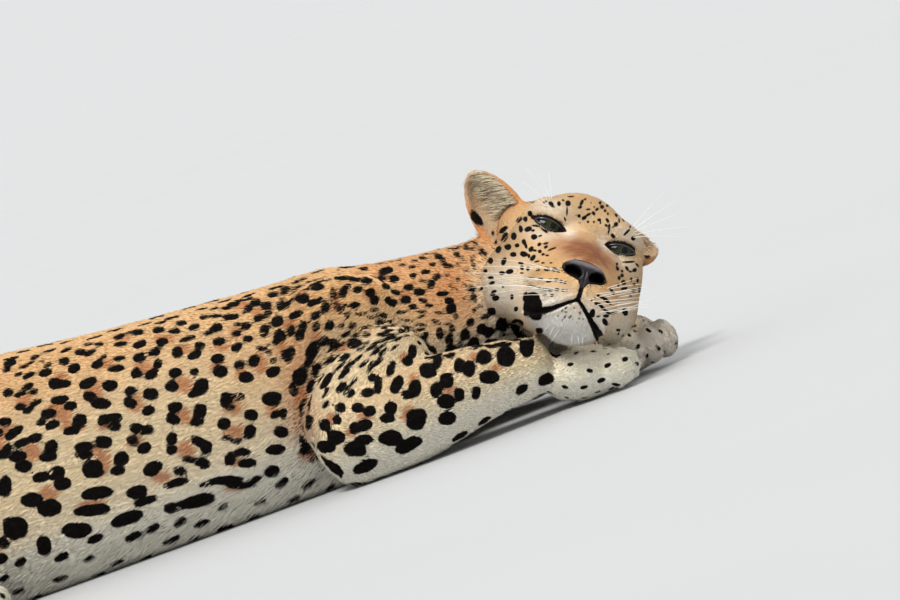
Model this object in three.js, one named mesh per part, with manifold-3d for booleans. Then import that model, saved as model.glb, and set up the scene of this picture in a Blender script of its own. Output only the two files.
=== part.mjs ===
// A life-size leopard at rest: chest and belly on the floor, forelegs folded in front of it,
// the head laid on the forepaws and turned to its right. Millimetres, +X towards the head,
// +Y the animal's left side, +Z up, with the floor at z = 0 under the chest.
import * as THREE from "three";
import { mergeVertices } from "three/addons/utils/BufferGeometryUtils.js";
import Module from "manifold-3d";

// Driving sizes
const SKIN_GAP = 0.3; // clearance between parts that touch
const BACK_AT_SHOULDER = 221;
const BACK_AT_LOINS = 256;
const CHEST_HALF_WIDTH = 104;
const BELLY_HALF_WIDTH = 124;
const RUMP_X = -618;
const SHOULDER_X = 122;
const BELOW_FLOOR = -14; // the body is modelled this far down, then cut flat at the floor
const ELBOW_RADIUS = 47;
const WRIST_RADIUS = 30;
const PAW_LENGTH = 112;
const PAW_WIDTH = 84;
const PAW_HEIGHT = 54;
const TAIL_RADIUS = 27;
const EYE_RADIUS = 18.5;
const EYE_SPACING = 80;
const EAR_LENGTH = 66;
const EAR_WIDTH = 56;
const EAR_WALL = 5;

const COAT = new THREE.MeshStandardMaterial({ color: 0xd3a466, roughness: 0.85, metalness: 0 });
const PALE_COAT = new THREE.MeshStandardMaterial({ color: 0xe6d3ae, roughness: 0.9, metalness: 0 });
const NOSE_SKIN = new THREE.MeshStandardMaterial({ color: 0x1d1a1c, roughness: 0.45, metalness: 0 });
const EYE_GLOSS = new THREE.MeshStandardMaterial({ color: 0x6f7a34, roughness: 0.1, metalness: 0 });

const wasm = await Module();
wasm.setup();

const vec = (x, y, z) => new THREE.Vector3(x, y, z);
const mirrorY = ([x, y, z]) => [x, -y, z];

// Closed geometry turned into solids and back.

function toSolid(geometry) {
  const bare = geometry.clone();
  bare.deleteAttribute("normal");
  bare.deleteAttribute("uv");
  const merged = mergeVertices(bare, 1e-3);
  return new wasm.Manifold(
    new wasm.Mesh({
      numProp: 3,
      vertProperties: new Float32Array(merged.attributes.position.array),
      triVerts: new Uint32Array(merged.index.array),
    }),
  );
}

function toGeometry(solid) {
  const mesh = solid.getMesh();
  return new THREE.BufferGeometry()
    .setAttribute("position", new THREE.BufferAttribute(mesh.vertProperties, 3))
    .setIndex(new THREE.BufferAttribute(mesh.triVerts, 1));
}

// Keeps the largest closed surface, so no scrap or sealed hollow is left by a cut.
function largest(solid) {
  const bodies = solid.decompose().sort((a, b) => b.volume() - a.volume());
  return bodies[0];
}

const joined = (solids) => solids.reduce((all, one) => all.add(one));

// Rounded shapes that the body is made of.

// A ball stretched to three radii, turned, then set at a point.
function ball(at, radii, { turn = [0, 0, 0], around = 16, up = 10, grow = 0 } = {}) {
  const geometry = new THREE.SphereGeometry(1, around, up);
  geometry.scale(radii[0] + grow, radii[1] + grow, radii[2] + grow);
  const spin = new THREE.Matrix4().makeRotationFromEuler(
    new THREE.Euler(...turn.map(THREE.MathUtils.degToRad), "ZYX"),
  );
  geometry.applyMatrix4(spin);
  geometry.translate(...at);
  return toSolid(geometry);
}

const raised = (value, power) => Math.sign(value) * Math.abs(value) ** power;

// A closed skin over equal rings, each end brought to the middle of its ring.
function skinOver(rings) {
  const around = rings[0].length;
  const positions = rings.flat().flatMap((p) => [p.x, p.y, p.z]);
  const faces = [];
  for (let i = 0; i + 1 < rings.length; i++) {
    for (let j = 0; j < around; j++) {
      const a = i * around + j;
      const b = i * around + ((j + 1) % around);
      faces.push(a, b, a + around, b, b + around, a + around);
    }
  }
  for (const [ring, first] of [[rings[0], true], [rings[rings.length - 1], false]]) {
    const middle = ring.reduce((sum, p) => sum.add(p), vec(0, 0, 0)).divideScalar(around);
    const pole = positions.length / 3;
    positions.push(middle.x, middle.y, middle.z);
    const start = first ? 0 : (rings.length - 1) * around;
    for (let j = 0; j < around; j++) {
      const a = start + j;
      const b = start + ((j + 1) % around);
      faces.push(...(first ? [pole, b, a] : [pole, a, b]));
    }
  }
  return new THREE.BufferGeometry()
    .setAttribute("position", new THREE.Float32BufferAttribute(positions, 3))
    .setIndex(faces);
}

// A fleshy length along a smooth path. Each station has its middle, half width, height above
// the middle, depth below it and squareness (2 is an ellipse). Both ends are rounded.
function flesh(stations, { around = 16, steps = 4, grow = 0, endCap = 3 } = {}) {
  const path = new THREE.CatmullRomCurve3(stations.map((s) => vec(...s.at)), false, "catmullrom", 0.5);
  const girth = new THREE.CatmullRomCurve3(
    stations.map((s) => vec(s.wide, s.up ?? s.wide, s.down ?? s.up ?? s.wide)),
    false,
    "catmullrom",
    0.5,
  );
  const square = stations.map((s) => s.square ?? 2);
  const spans = (stations.length - 1) * steps;
  const ring = (t, out, shrink) => {
    const middle = path.getPoint(t);
    const along = path.getTangent(t);
    const side = vec(0, 0, 1).cross(along).normalize();
    const upward = along.clone().cross(side).normalize();
    const size = girth.getPoint(t);
    const k = t * (stations.length - 1);
    const low = Math.min(Math.floor(k), stations.length - 2);
    const power = 2 / THREE.MathUtils.lerp(square[low], square[low + 1], k - low);
    middle.addScaledVector(along, out * (size.x + grow));
    return Array.from({ length: around }, (_, j) => {
      const angle = (j / around) * 2 * Math.PI;
      const c = raised(Math.cos(angle), power);
      const s = raised(Math.sin(angle), power);
      const high = s > 0 ? size.y : size.z;
      return middle
        .clone()
        .addScaledVector(side, -c * (size.x + grow) * shrink)
        .addScaledVector(upward, s * (high + grow) * shrink);
    });
  };
  const rings = [];
  for (let i = endCap; i > 0; i--) {
    const a = (i / (endCap + 0.35)) * (Math.PI / 2);
    rings.push(ring(0, -0.8 * Math.sin(a), Math.cos(a)));
  }
  for (let i = 0; i <= spans; i++) rings.push(ring(i / spans, 0, 1));
  for (let i = 1; i <= endCap; i++) {
    const a = (i / (endCap + 0.35)) * (Math.PI / 2);
    rings.push(ring(1, 0.8 * Math.sin(a), Math.cos(a)));
  }
  const solid = toSolid(skinOver(rings));
  return solid.volume() > 0 ? solid : toSolid(skinOver(rings.map((r) => [...r].reverse())));
}

// The trunk and neck.

function torso(grow) {
  const station = (x, top, wide, middle, square = 2.2, bottom = BELOW_FLOOR) => ({
    at: [x, 0, middle],
    wide,
    up: top - middle,
    down: middle - bottom,
    square,
  });
  const barrel = flesh(
    [
      station(RUMP_X + 30, 176, 50, 124, 2, 52),
      station(-572, 212, 84, 118, 2.1, 16),
      station(-520, 238, 108, 112),
      station(-460, 252, 114, 106),
      station(-400, BACK_AT_LOINS + 1, 115, 102, 2.3),
      station(-330, BACK_AT_LOINS, BELLY_HALF_WIDTH - 6, 100, 2.4),
      station(-272, 252, BELLY_HALF_WIDTH - 2, 98, 2.4),
      station(-165, 239, BELLY_HALF_WIDTH, 98, 2.4),
      station(-55, 230, BELLY_HALF_WIDTH - 6, 100, 2.3),
      station(21, 224, CHEST_HALF_WIDTH + 4, 104, 2.2),
      station(88, BACK_AT_SHOULDER, CHEST_HALF_WIDTH - 8, 108, 2.1),
      station(SHOULDER_X + 8, 210, 84, 112, 2.1),
    ],
    { around: 20, steps: 2, grow, endCap: 3 },
  );
  const blades = [-1, 1].map((side) =>
    ball([66, side * 54, 146], [88, 48, 70], { turn: [side * -14, -12, 0], around: 12, up: 7, grow }),
  );
  return joined([barrel, ...blades]);
}

function neck(grow) {
  return flesh(
    [
      { at: [112, 2, 112], wide: 84, up: 100, down: 98 },
      { at: [165, 10, 112], wide: 80, up: 90, down: 88 },
      { at: [215, 22, 112], wide: 76, up: 84, down: 76 },
      { at: [258, 34, 114], wide: 70, up: 78, down: 66 },
    ],
    { around: 18, steps: 2, grow, endCap: 2 },
  );
}

// The forelegs.

// Each foreleg is set by its shoulder, elbow, wrist and the way its paw points.
const RIGHT_FORELEG = {
  shoulder: [122, -84, 100],
  elbow: [42, -126, 50],
  upperForearm: [112, -134, 58],
  lowerForearm: [190, -124, 60],
  wrist: [250, -110, 54],
  paw: [304, -98, 27],
  pawTurn: 8,
  pawSize: 1,
};
const LEFT_FORELEG = {
  shoulder: [128, 84, 100],
  elbow: [84, 128, 48],
  upperForearm: [172, 126, 48],
  lowerForearm: [268, 100, 50],
  wrist: [336, 48, 52],
  paw: [352, -4, 33],
  pawTurn: -70,
  pawSize: 1.1,
};

function upperArm(leg, grow) {
  const [sx, sy, sz] = leg.shoulder;
  const [ex, ey, ez] = leg.elbow;
  return flesh(
    [
      { at: [sx, sy, sz], wide: 46, up: 52 },
      { at: [(sx + ex) / 2 + 4, (sy + ey) / 2, (sz + ez) / 2 + 10], wide: 47, up: 58, down: 54 },
      { at: [ex, ey, ez + 6], wide: ELBOW_RADIUS - 4, up: ELBOW_RADIUS + 4 },
    ],
    { around: 10, steps: 2, grow, endCap: 2 },
  );
}

function forearm(leg, grow) {
  return flesh(
    [
      { at: leg.elbow, wide: ELBOW_RADIUS - 3, up: ELBOW_RADIUS, down: ELBOW_RADIUS + 8 },
      { at: leg.upperForearm, wide: ELBOW_RADIUS - 4, up: ELBOW_RADIUS + 4, down: ELBOW_RADIUS + 12 },
      { at: leg.lowerForearm, wide: 36, up: 40, down: 46 },
      { at: leg.wrist, wide: WRIST_RADIUS + 2, up: WRIST_RADIUS + 4, down: WRIST_RADIUS + 4 },
    ],
    { around: 12, steps: 2, grow, endCap: 2 },
  );
}

// A paw: a broad back, four toes side by side and the flat of the pads underneath.
function paw([x, y, z], turn, size, grow) {
  const length = PAW_LENGTH * size;
  const width = PAW_WIDTH * size;
  const height = PAW_HEIGHT * size;
  const heading = THREE.MathUtils.degToRad(turn);
  const place = (forward, left, up) => [
    x + forward * Math.cos(heading) - left * Math.sin(heading),
    y + forward * Math.sin(heading) + left * Math.cos(heading),
    z + up,
  ];
  const back = ball(place(-0.04 * length, 0, 1), [0.44 * length, 0.47 * width, 0.54 * height], {
    turn: [0, 10, turn],
    around: 14,
    up: 8,
    grow,
  });
  const toes = [-1.5, -0.5, 0.5, 1.5].map((slot) => {
    const outer = Math.abs(slot) > 1;
    return ball(
      place((outer ? 0.22 : 0.31) * length, slot * 0.235 * width, -0.09 * height),
      [0.19 * length, 0.16 * width, 0.38 * height],
      { turn: [0, 12, turn + slot * 5], around: 8, up: 6, grow },
    );
  });
  return joined([back, ...toes]);
}

// The hind legs, folded under on both sides.

const RIGHT_HINDLEG = {
  hip: [-530, -70, 142],
  knee: [-402, -126, 82],
  hock: [-600, -138, 36],
  paw: [-388, -158, 25],
  pawTurn: 2,
};
const LEFT_HINDLEG = {
  hip: [-530, 70, 142],
  knee: [-396, 128, 82],
  hock: [-594, 140, 36],
  paw: [-380, 162, 25],
  pawTurn: 4,
};

function thigh(leg, grow) {
  const [hx, hy, hz] = leg.hip;
  const [kx, ky, kz] = leg.knee;
  const out = Math.sign(hy);
  return flesh(
    [
      { at: [hx - 24, hy, hz - 20], wide: 46, up: 62, down: 66 },
      { at: [(hx + kx) / 2 - 20, (hy + ky) / 2 + out * 2, (hz + kz) / 2 + 4], wide: 56, up: 84, down: 84 },
      { at: [kx - 2, ky - out * 2, kz + 2], wide: 42, up: 54, down: 50 },
    ],
    { around: 12, steps: 2, grow, endCap: 2 },
  );
}

function shank(leg, grow) {
  const [kx, ky, kz] = leg.knee;
  const [hx, hy, hz] = leg.hock;
  const out = Math.sign(ky);
  return flesh(
    [
      { at: [kx - 24, ky + out * 4, kz - 22], wide: 36, up: 44, down: 46 },
      { at: [(kx + hx) / 2, (ky + hy) / 2 + out * 2, (kz + hz) / 2 - 4], wide: 33, up: 38, down: 44 },
      { at: [hx, hy, hz], wide: 25, up: 30, down: 38 },
    ],
    { around: 10, steps: 2, grow, endCap: 2 },
  );
}

function hindFoot(leg, grow) {
  const [hx, hy, hz] = leg.hock;
  const [px, py, pz] = leg.paw;
  const out = Math.sign(hy);
  const instep = flesh(
    [
      { at: [hx - 2, hy + out * 8, hz - 9], wide: 21, up: 24, down: 30 },
      { at: [(hx + px) / 2, (hy + py) / 2 + out * 10, 23], wide: 22, up: 20, down: 26 },
      { at: [px - 34, py, pz - 1], wide: 30, up: 23, down: 28 },
    ],
    { around: 10, steps: 2, grow, endCap: 2 },
  );
  return joined([instep, paw(leg.paw, leg.pawTurn, 0.94, grow)]);
}

// The tail.

const TAIL_PATH = new THREE.CatmullRomCurve3(
  [
    vec(-578, 0, 150),
    vec(-662, 4, 118),
    vec(-738, 6, 66),
    vec(-822, -6, 30),
    vec(-910, -48, 23),
    vec(-962, -124, 23),
    vec(-958, -216, 23),
    vec(-898, -290, 22),
    vec(-816, -330, 21),
  ],
  false,
  "catmullrom",
  0.5,
);

function tailLength(from, to, grow, last) {
  const count = 6;
  const stations = Array.from({ length: count }, (_, i) => {
    const t = THREE.MathUtils.lerp(from, to, i / (count - 1));
    const taper = TAIL_RADIUS * (1.16 - 0.34 * t) * (last && i === count - 1 ? 0.72 : 1);
    return { at: TAIL_PATH.getPointAt(t).toArray(), wide: taper, up: taper };
  });
  return flesh(stations, { around: 10, steps: 1, grow, endCap: 2 });
}

// The head, in its own frame: +X out of the face, +Y its left, +Z its crown,
// with the origin midway between the eyes

const HEAD_AT = [350, -70, 159.4];
const HEAD_TURN = { roll: -40, pitch: -11, yaw: -74.5 };
const HEAD_MIDDLE = vec(-26, 0, -40); // every point of the face is seen from here
const NOSE_WAY = vec(0.98, 0, -0.2); // from there to the nose, where the skin is finest
const BLEND = 11; // how softly the masses of the head run together

// Named masses of the head: middle, radii, and the nose-down pitch of each in degrees.
const HEAD_MASSES = {
  cranium: { at: [-84, 0, 3], radii: [68, 67, 62] },
  forehead: { at: [-42, 0, 14], radii: [39, 46, 44] },
  bridge: { at: [27, 0, -35], radii: [50, 21, 20], pitch: 37 },
  muzzle: { at: [40, 0, -74], radii: [33, 34, 26], pitch: 10 },
  chin: { at: [46, 0, -108], radii: [21, 21, 20] },
  throat: { at: [-40, 0, -70], radii: [66, 48, 32] },
};
const PAIRED_MASSES = {
  browRidge: { at: [-14, 36, 18], radii: [19, 23, 13], pitch: 6 },
  lidMound: { at: [-15, 40, 0], radii: [25, 26, 25] },
  cheekbone: { at: [-22, 52, -26], radii: [28, 22, 23] },
  maxilla: { at: [8, 27, -48], radii: [38, 24, 30] },
  whiskerPad: { at: [49, 21, -78], radii: [26, 23, 23] },
  jawLine: { at: [10, 24, -100], radii: [40, 20, 18] },
  cheek: { at: [-38, 49, -62], radii: [42, 33, 38] },
  ruff: { at: [-64, 55, -52], radii: [34, 31, 42] },
  earBase: { at: [-92, 58, 14], radii: [28, 25, 28] },
};

const EYE_AT = [-15, EYE_SPACING / 2, 0];
const EYE_SLANT = 7; // the inner corner sits lower than the outer one
const EYE_OPENING = [17.5, 5.2]; // half length and half height of the gap between the lids

function massDistance(point, { at, radii, pitch = 0 }, side) {
  const p = point.clone().sub(vec(at[0], at[1] * side, at[2]));
  if (pitch) p.applyAxisAngle(vec(0, 1, 0), -THREE.MathUtils.degToRad(pitch));
  const scaled = vec(p.x / radii[0], p.y / radii[1], p.z / radii[2]);
  const slope = vec(scaled.x / radii[0], scaled.y / radii[1], scaled.z / radii[2]).length();
  const k = scaled.length();
  return slope < 1e-9 ? -Math.min(...radii) : (k * (k - 1)) / slope;
}

// How far a point is outside the blended masses, below zero inside.
function headDistance(point) {
  const distances = [
    ...Object.values(HEAD_MASSES).map((m) => massDistance(point, m, 1)),
    ...Object.values(PAIRED_MASSES).flatMap((m) => [massDistance(point, m, 1), massDistance(point, m, -1)]),
  ];
  const sum = distances.reduce((total, d) => total + Math.exp(-d / BLEND), 0);
  return -BLEND * Math.log(sum) + BLEND * 0.5;
}

// The skin of the head seen from its middle along a direction.
function onSkin(way, grow = 0) {
  const farthest = 160;
  const stride = 3.5;
  let near = 20;
  let far = farthest;
  for (let reach = farthest; reach > near; reach -= stride) {
    if (headDistance(HEAD_MIDDLE.clone().addScaledVector(way, reach)) < 0) {
      near = reach;
      far = reach + stride;
      break;
    }
  }
  for (let step = 0; step < 10; step++) {
    const middle = (near + far) / 2;
    if (headDistance(HEAD_MIDDLE.clone().addScaledVector(way, middle)) < 0) near = middle;
    else far = middle;
  }
  return HEAD_MIDDLE.clone().addScaledVector(way, near + grow);
}

// The head's outside: a ball whose points are moved out to the skin, finest round the nose.
function skull(grow) {
  const geometry = new THREE.SphereGeometry(1, 34, 25);
  geometry.deleteAttribute("normal");
  geometry.deleteAttribute("uv");
  const shape = mergeVertices(geometry, 1e-6);
  const toFace = new THREE.Quaternion().setFromUnitVectors(vec(0, 1, 0), NOSE_WAY.clone().normalize());
  const points = shape.attributes.position;
  for (let i = 0; i < points.count; i++) {
    const fromNose = Math.acos(THREE.MathUtils.clamp(points.getY(i), -1, 1)) / Math.PI;
    const polar = Math.PI * fromNose ** 1.25;
    const round = Math.atan2(points.getZ(i), points.getX(i));
    const way = vec(
      Math.sin(polar) * Math.cos(round),
      Math.cos(polar),
      Math.sin(polar) * Math.sin(round),
    ).applyQuaternion(toFace);
    const out = onSkin(way, grow);
    points.setXYZ(i, out.x, out.y, out.z);
  }
  return toSolid(shape);
}

const eyeball = (side, grow) =>
  ball([EYE_AT[0], EYE_AT[1] * side, EYE_AT[2]], [EYE_RADIUS, EYE_RADIUS, EYE_RADIUS], {
    around: 12,
    up: 9,
    grow,
  });

// A bead that follows a line of points, for lid rims, or a groove when it is cut away.
const bead = (points, radius, around = 5, steps = 1) =>
  flesh(points.map((at) => ({ at, wide: radius })), { around, steps, endCap: 1 });

// Points along one lid's rim, from the inner corner of the eye to the outer one.
function lidRim(side, lift) {
  const slant = THREE.MathUtils.degToRad(EYE_SLANT);
  return Array.from({ length: 7 }, (_, i) => {
    const along = -1 + (i / 6) * 2;
    const across = EYE_OPENING[0] * along;
    const rise = lift * EYE_OPENING[1] * Math.cos((along * Math.PI) / 2);
    const y = across * Math.cos(slant) - rise * Math.sin(slant);
    const z = across * Math.sin(slant) + rise * Math.cos(slant);
    const bulge = Math.sqrt(Math.max(0, (EYE_RADIUS + 1.6) ** 2 - y * y - z * z));
    return [EYE_AT[0] + bulge, side * (EYE_AT[1] + y), EYE_AT[2] + z];
  });
}

function eyeOpening(side) {
  const [length, height] = EYE_OPENING;
  return ball([EYE_AT[0] + 22, EYE_AT[1] * side, EYE_AT[2]], [26, length, height], {
    turn: [side * EYE_SLANT, 0, 0],
    around: 12,
    up: 6,
  });
}

// Lines on the face, brought onto the skin so that a bead along them cuts an even groove.
const MOUTH_LINE = [[79, 0, -89], [75, 9, -95], [66, 20, -102], [52, 32, -107], [30, 43, -107], [12, 49, -102]];
const LIP_CLEFT = [[84, 0, -70], [82, 0, -80], [79, 0, -90]];

function onFace(line, side, lower = 0) {
  const path = new THREE.CatmullRomCurve3(line.map(([x, y, z]) => vec(x, y * side, z - lower)));
  return path.getPoints(7).map((p) => onSkin(p.sub(HEAD_MIDDLE).normalize()).toArray());
}

function head() {
  const openings = [-1, 1].map(eyeOpening);
  const lips = [-1, 1].map((side) => bead(onFace(MOUTH_LINE, side, 5), 3.2));
  const lids = [-1, 1].flatMap((side) => [bead(lidRim(side, 1), 2), bead(lidRim(side, -1), 1.7)]);
  const cuts = [
    ...openings,
    ...[-1, 1].map((side) => eyeball(side, SKIN_GAP)),
    ...[-1, 1].map((side) => bead(onFace(MOUTH_LINE, side), 2.6)),
    bead(onFace(LIP_CLEFT, 1), 1.8),
    noseLeather(SKIN_GAP),
  ];
  return joined([skull(0).subtract(joined(openings)), ...lids, ...lips]).subtract(joined(cuts));
}

// The bare nose: broad above, narrow at the lip, with a comma-shaped nostril each side.
function noseLeather(grow) {
  const pad = joined([
    ball([66, 0, -55], [13, 21, 10], { turn: [0, 34, 0], around: 10, up: 6, grow }),
    ball([68, 12, -59], [12, 11, 10], { turn: [0, 24, 0], around: 10, up: 6, grow }),
    ball([68, -12, -59], [12, 11, 10], { turn: [0, 24, 0], around: 10, up: 6, grow }),
    ball([70, 0, -67], [12, 10, 14], { turn: [0, 8, 0], around: 8, up: 6, grow }),
  ]);
  if (grow) return pad;
  const nostrils = [-1, 1].flatMap((side) => [
    ball([81, side * 10.5, -61], [8, 5, 4.2], { turn: [side * 20, 0, side * 20], around: 8, up: 6 }),
    ball([76, side * 19, -65], [7, 6, 2.4], { turn: [side * -25, 0, side * 40], around: 8, up: 6 }),
  ]);
  return pad.subtract(joined(nostrils));
}

// The ears, in the head's frame.

const RIGHT_EAR = { root: [-92, -74, 14], tip: [-103, -121, 56], opens: [0.8, -0.5, 0] };
const LEFT_EAR = { root: [-92, 51, 37], tip: [-137, 97, 54], opens: [0.58, 0.38, 0.72] };

// A cupped shell: a rounded, tapering leaf with its front hollowed out.
function ear(place, grow) {
  const upward = vec(...place.tip).sub(vec(...place.root)).normalize();
  const forward = vec(...place.opens).addScaledVector(upward, -vec(...place.opens).dot(upward)).normalize();
  const sideways = upward.clone().cross(forward);
  const frame = new THREE.Matrix4().makeBasis(forward, sideways, upward);
  frame.setPosition(vec(...place.root));
  const half = EAR_WIDTH / 2;
  const leaf = (wide, deep, long, inset) => {
    const geometry = new THREE.SphereGeometry(1, 14, 10);
    const points = geometry.attributes.position;
    for (let i = 0; i < points.count; i++) {
      const height = points.getZ(i);
      const ring = Math.hypot(points.getX(i), points.getY(i));
      const foot = height < 0 && ring > 0.05 ? ring ** -0.6 : 1;
      const taper = (1 - 0.2 * height) * foot;
      points.setX(i, points.getX(i) * deep * taper + inset - 0.14 * deep * height);
      points.setY(i, points.getY(i) * wide * taper);
      points.setZ(i, height * long + 0.3 * EAR_LENGTH);
    }
    return toSolid(geometry.applyMatrix4(frame));
  };
  const long = 0.72 * EAR_LENGTH;
  const outer = leaf(half + grow, 24 + grow, long + grow, 0);
  if (grow) return outer;
  const hollow = leaf(half - EAR_WALL, 26, long - EAR_WALL, EAR_WALL + 5);
  const front = new THREE.BoxGeometry(80, 120, 200);
  front.translate(46, 0, 20);
  const rimCut = toSolid(front.applyMatrix4(frame));
  return outer.subtract(hollow).subtract(rimCut);
}

// The parts are laid out in turn, and each gives way to those placed before it.

const headFrame = new THREE.Matrix4()
  .makeRotationFromEuler(
    new THREE.Euler(
      THREE.MathUtils.degToRad(HEAD_TURN.roll),
      THREE.MathUtils.degToRad(HEAD_TURN.pitch),
      THREE.MathUtils.degToRad(HEAD_TURN.yaw),
      "ZYX",
    ),
  )
  .setPosition(vec(...HEAD_AT));

const inHead = (solid) => toSolid(toGeometry(solid).applyMatrix4(headFrame));
const HEAD_PARTS = ["head", "nose", "eye_right", "eye_left", "ear_right", "ear_left"];

const parts = [
  ["eye_right", EYE_GLOSS, (grow) => inHead(eyeball(-1, grow))],
  ["eye_left", EYE_GLOSS, (grow) => inHead(eyeball(1, grow))],
  ["nose", NOSE_SKIN, (grow) => inHead(noseLeather(grow))],
  ["forepaw_right", COAT, (grow) => paw(RIGHT_FORELEG.paw, RIGHT_FORELEG.pawTurn, RIGHT_FORELEG.pawSize, grow)],
  ["forearm_right", COAT, (grow) => forearm(RIGHT_FORELEG, grow)],
  ["forepaw_left", COAT, (grow) => paw(LEFT_FORELEG.paw, LEFT_FORELEG.pawTurn, LEFT_FORELEG.pawSize, grow)],
  ["forearm_left", COAT, (grow) => forearm(LEFT_FORELEG, grow)],
  ["head", COAT, (grow) => inHead(grow ? skull(grow) : head())],
  ["ear_right", COAT, (grow) => inHead(ear(RIGHT_EAR, grow))],
  ["ear_left", COAT, (grow) => inHead(ear(LEFT_EAR, grow))],
  ["upper_arm_right", COAT, (grow) => upperArm(RIGHT_FORELEG, grow)],
  ["upper_arm_left", COAT, (grow) => upperArm(LEFT_FORELEG, grow)],
  ["hind_foot_right", COAT, (grow) => hindFoot(RIGHT_HINDLEG, grow)],
  ["hind_foot_left", COAT, (grow) => hindFoot(LEFT_HINDLEG, grow)],
  ["shank_right", COAT, (grow) => shank(RIGHT_HINDLEG, grow)],
  ["shank_left", COAT, (grow) => shank(LEFT_HINDLEG, grow)],
  ["thigh_right", COAT, (grow) => thigh(RIGHT_HINDLEG, grow)],
  ["thigh_left", COAT, (grow) => thigh(LEFT_HINDLEG, grow)],
  ["neck", COAT, neck],
  ["torso", PALE_COAT, torso],
  ["tail_root", COAT, (grow) => tailLength(0, 0.36, grow, false)],
  ["tail_middle", COAT, (grow) => tailLength(0.36, 0.7, grow, false)],
  ["tail_tip", COAT, (grow) => tailLength(0.7, 1, grow, true)],
];

const floorCut = toSolid(new THREE.BoxGeometry(4000, 4000, 400).translate(0, 0, -200));

const leopard = new THREE.Group();
const headGroup = new THREE.Group();
headGroup.applyMatrix4(headFrame);
leopard.add(headGroup);
const fromHead = headFrame.clone().invert();

const placed = [];
for (const [name, material, shape] of parts) {
  let solid = shape(0).subtract(floorCut);
  for (const earlier of placed) solid = solid.subtract(earlier);
  const geometry = toGeometry(largest(solid));
  const mesh = new THREE.Mesh(geometry, material);
  mesh.name = name;
  if (HEAD_PARTS.includes(name)) {
    geometry.applyMatrix4(fromHead);
    headGroup.add(mesh);
  } else {
    leopard.add(mesh);
  }
  placed.push(shape(SKIN_GAP));
}

export default leopard;
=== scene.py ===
# %% [markdown]
# # A resting leopard
# This notebook dresses a plain solid leopard in skin, markings and fur.
# The solids arrive packed and fixed, in metres, with the floor at height zero.
# Everything that is made here is laid on them, so no piece has to be fitted afterwards.

# %% Load the solids
import math

import bpy
import numpy as np
from mathutils import Matrix, Vector
from mathutils.bvhtree import BVHTree
from mathutils.kdtree import KDTree


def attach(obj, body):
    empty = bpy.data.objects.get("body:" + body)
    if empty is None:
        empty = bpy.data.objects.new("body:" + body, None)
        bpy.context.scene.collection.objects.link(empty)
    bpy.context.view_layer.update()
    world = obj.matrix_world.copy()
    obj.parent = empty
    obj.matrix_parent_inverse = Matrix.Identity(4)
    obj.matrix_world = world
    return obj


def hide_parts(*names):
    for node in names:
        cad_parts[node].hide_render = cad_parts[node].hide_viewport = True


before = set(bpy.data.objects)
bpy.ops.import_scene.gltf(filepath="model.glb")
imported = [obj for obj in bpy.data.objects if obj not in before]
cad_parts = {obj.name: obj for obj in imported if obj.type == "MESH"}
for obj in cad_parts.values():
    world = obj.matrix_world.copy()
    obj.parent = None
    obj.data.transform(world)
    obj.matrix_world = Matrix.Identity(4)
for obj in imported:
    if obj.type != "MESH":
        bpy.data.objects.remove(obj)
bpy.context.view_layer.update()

MM = 0.001
dice = np.random.default_rng(27)

# %% [markdown]
# ## Camera
# The animal was seen from its right side through a long lens,
# almost level, and the picture leans by twenty degrees.
# A camera could be aimed by eye, but here its three axes are written out from those two angles.
# That keeps the frame the same each time the notebook runs.

# %% Place the camera
LOOK_AT = Vector((0.19468, -0.060, 0.14536))
DISTANCE = 6.0
ELEVATION = math.radians(3.5)
ROLL = math.radians(20)
PIXELS_WIDE = 900
PIXELS_HIGH = 600
METRES_PER_PIXEL = 0.00105

level = Vector((1, 0, 0))
upright = Vector((0, math.sin(ELEVATION), math.cos(ELEVATION)))
backward = Vector((0, -math.cos(ELEVATION), math.sin(ELEVATION)))
rightward = level * math.cos(ROLL) - upright * math.sin(ROLL)
upward = level * math.sin(ROLL) + upright * math.cos(ROLL)
eye_point = LOOK_AT + backward * DISTANCE

lens = bpy.data.cameras.new("long_lens")
lens.sensor_fit = "HORIZONTAL"
lens.sensor_width = 36
lens.lens = 36 * DISTANCE / (PIXELS_WIDE * METRES_PER_PIXEL)
lens.clip_end = 400
camera = bpy.data.objects.new("camera", lens)
bpy.context.scene.collection.objects.link(camera)
turned = Matrix((rightward, upward, backward)).transposed().to_4x4()
camera.matrix_world = Matrix.Translation(eye_point) @ turned
bpy.context.scene.camera = camera
print("lens", round(lens.lens, 1), "mm from", [round(v, 3) for v in eye_point])


def ray_to(x, y):
    """The unit direction from the camera to a place in the picture."""
    across = rightward * ((x - PIXELS_WIDE / 2) * METRES_PER_PIXEL)
    rise = upward * ((PIXELS_HIGH / 2 - y) * METRES_PER_PIXEL)
    return (across + rise - backward * DISTANCE).normalized()


# %% [markdown]
# ## Shader sums
# A material is a little calculation for each point of a surface.
# Blender draws it as nodes and wires, and long sums soon become a tangle.
# A small class that wraps a socket lets the sum be written as ordinary arithmetic.

# %% Write nodes as arithmetic
class Value:
    """A socket whose sums add Math nodes."""

    def __init__(self, recipe, socket):
        self.recipe = recipe
        self.socket = socket

    def sum(self, operation, first, second):
        return self.recipe.node("ShaderNodeMath", {"operation": operation}, {0: first, 1: second})

    def __add__(self, other):
        return self.sum("ADD", self, other)

    def __radd__(self, other):
        return self.sum("ADD", other, self)

    def __sub__(self, other):
        return self.sum("SUBTRACT", self, other)

    def __rsub__(self, other):
        return self.sum("SUBTRACT", other, self)

    def __mul__(self, other):
        return self.sum("MULTIPLY", self, other)

    def __rmul__(self, other):
        return self.sum("MULTIPLY", other, self)

    def rising(self, low, high):
        """Zero below low, one above high, and smooth between."""
        settings = {"interpolation_type": "SMOOTHSTEP", "clamp": True}
        inputs = {"Value": self, "From Min": low, "From Max": high}
        return self.recipe.node("ShaderNodeMapRange", settings, inputs)


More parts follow.
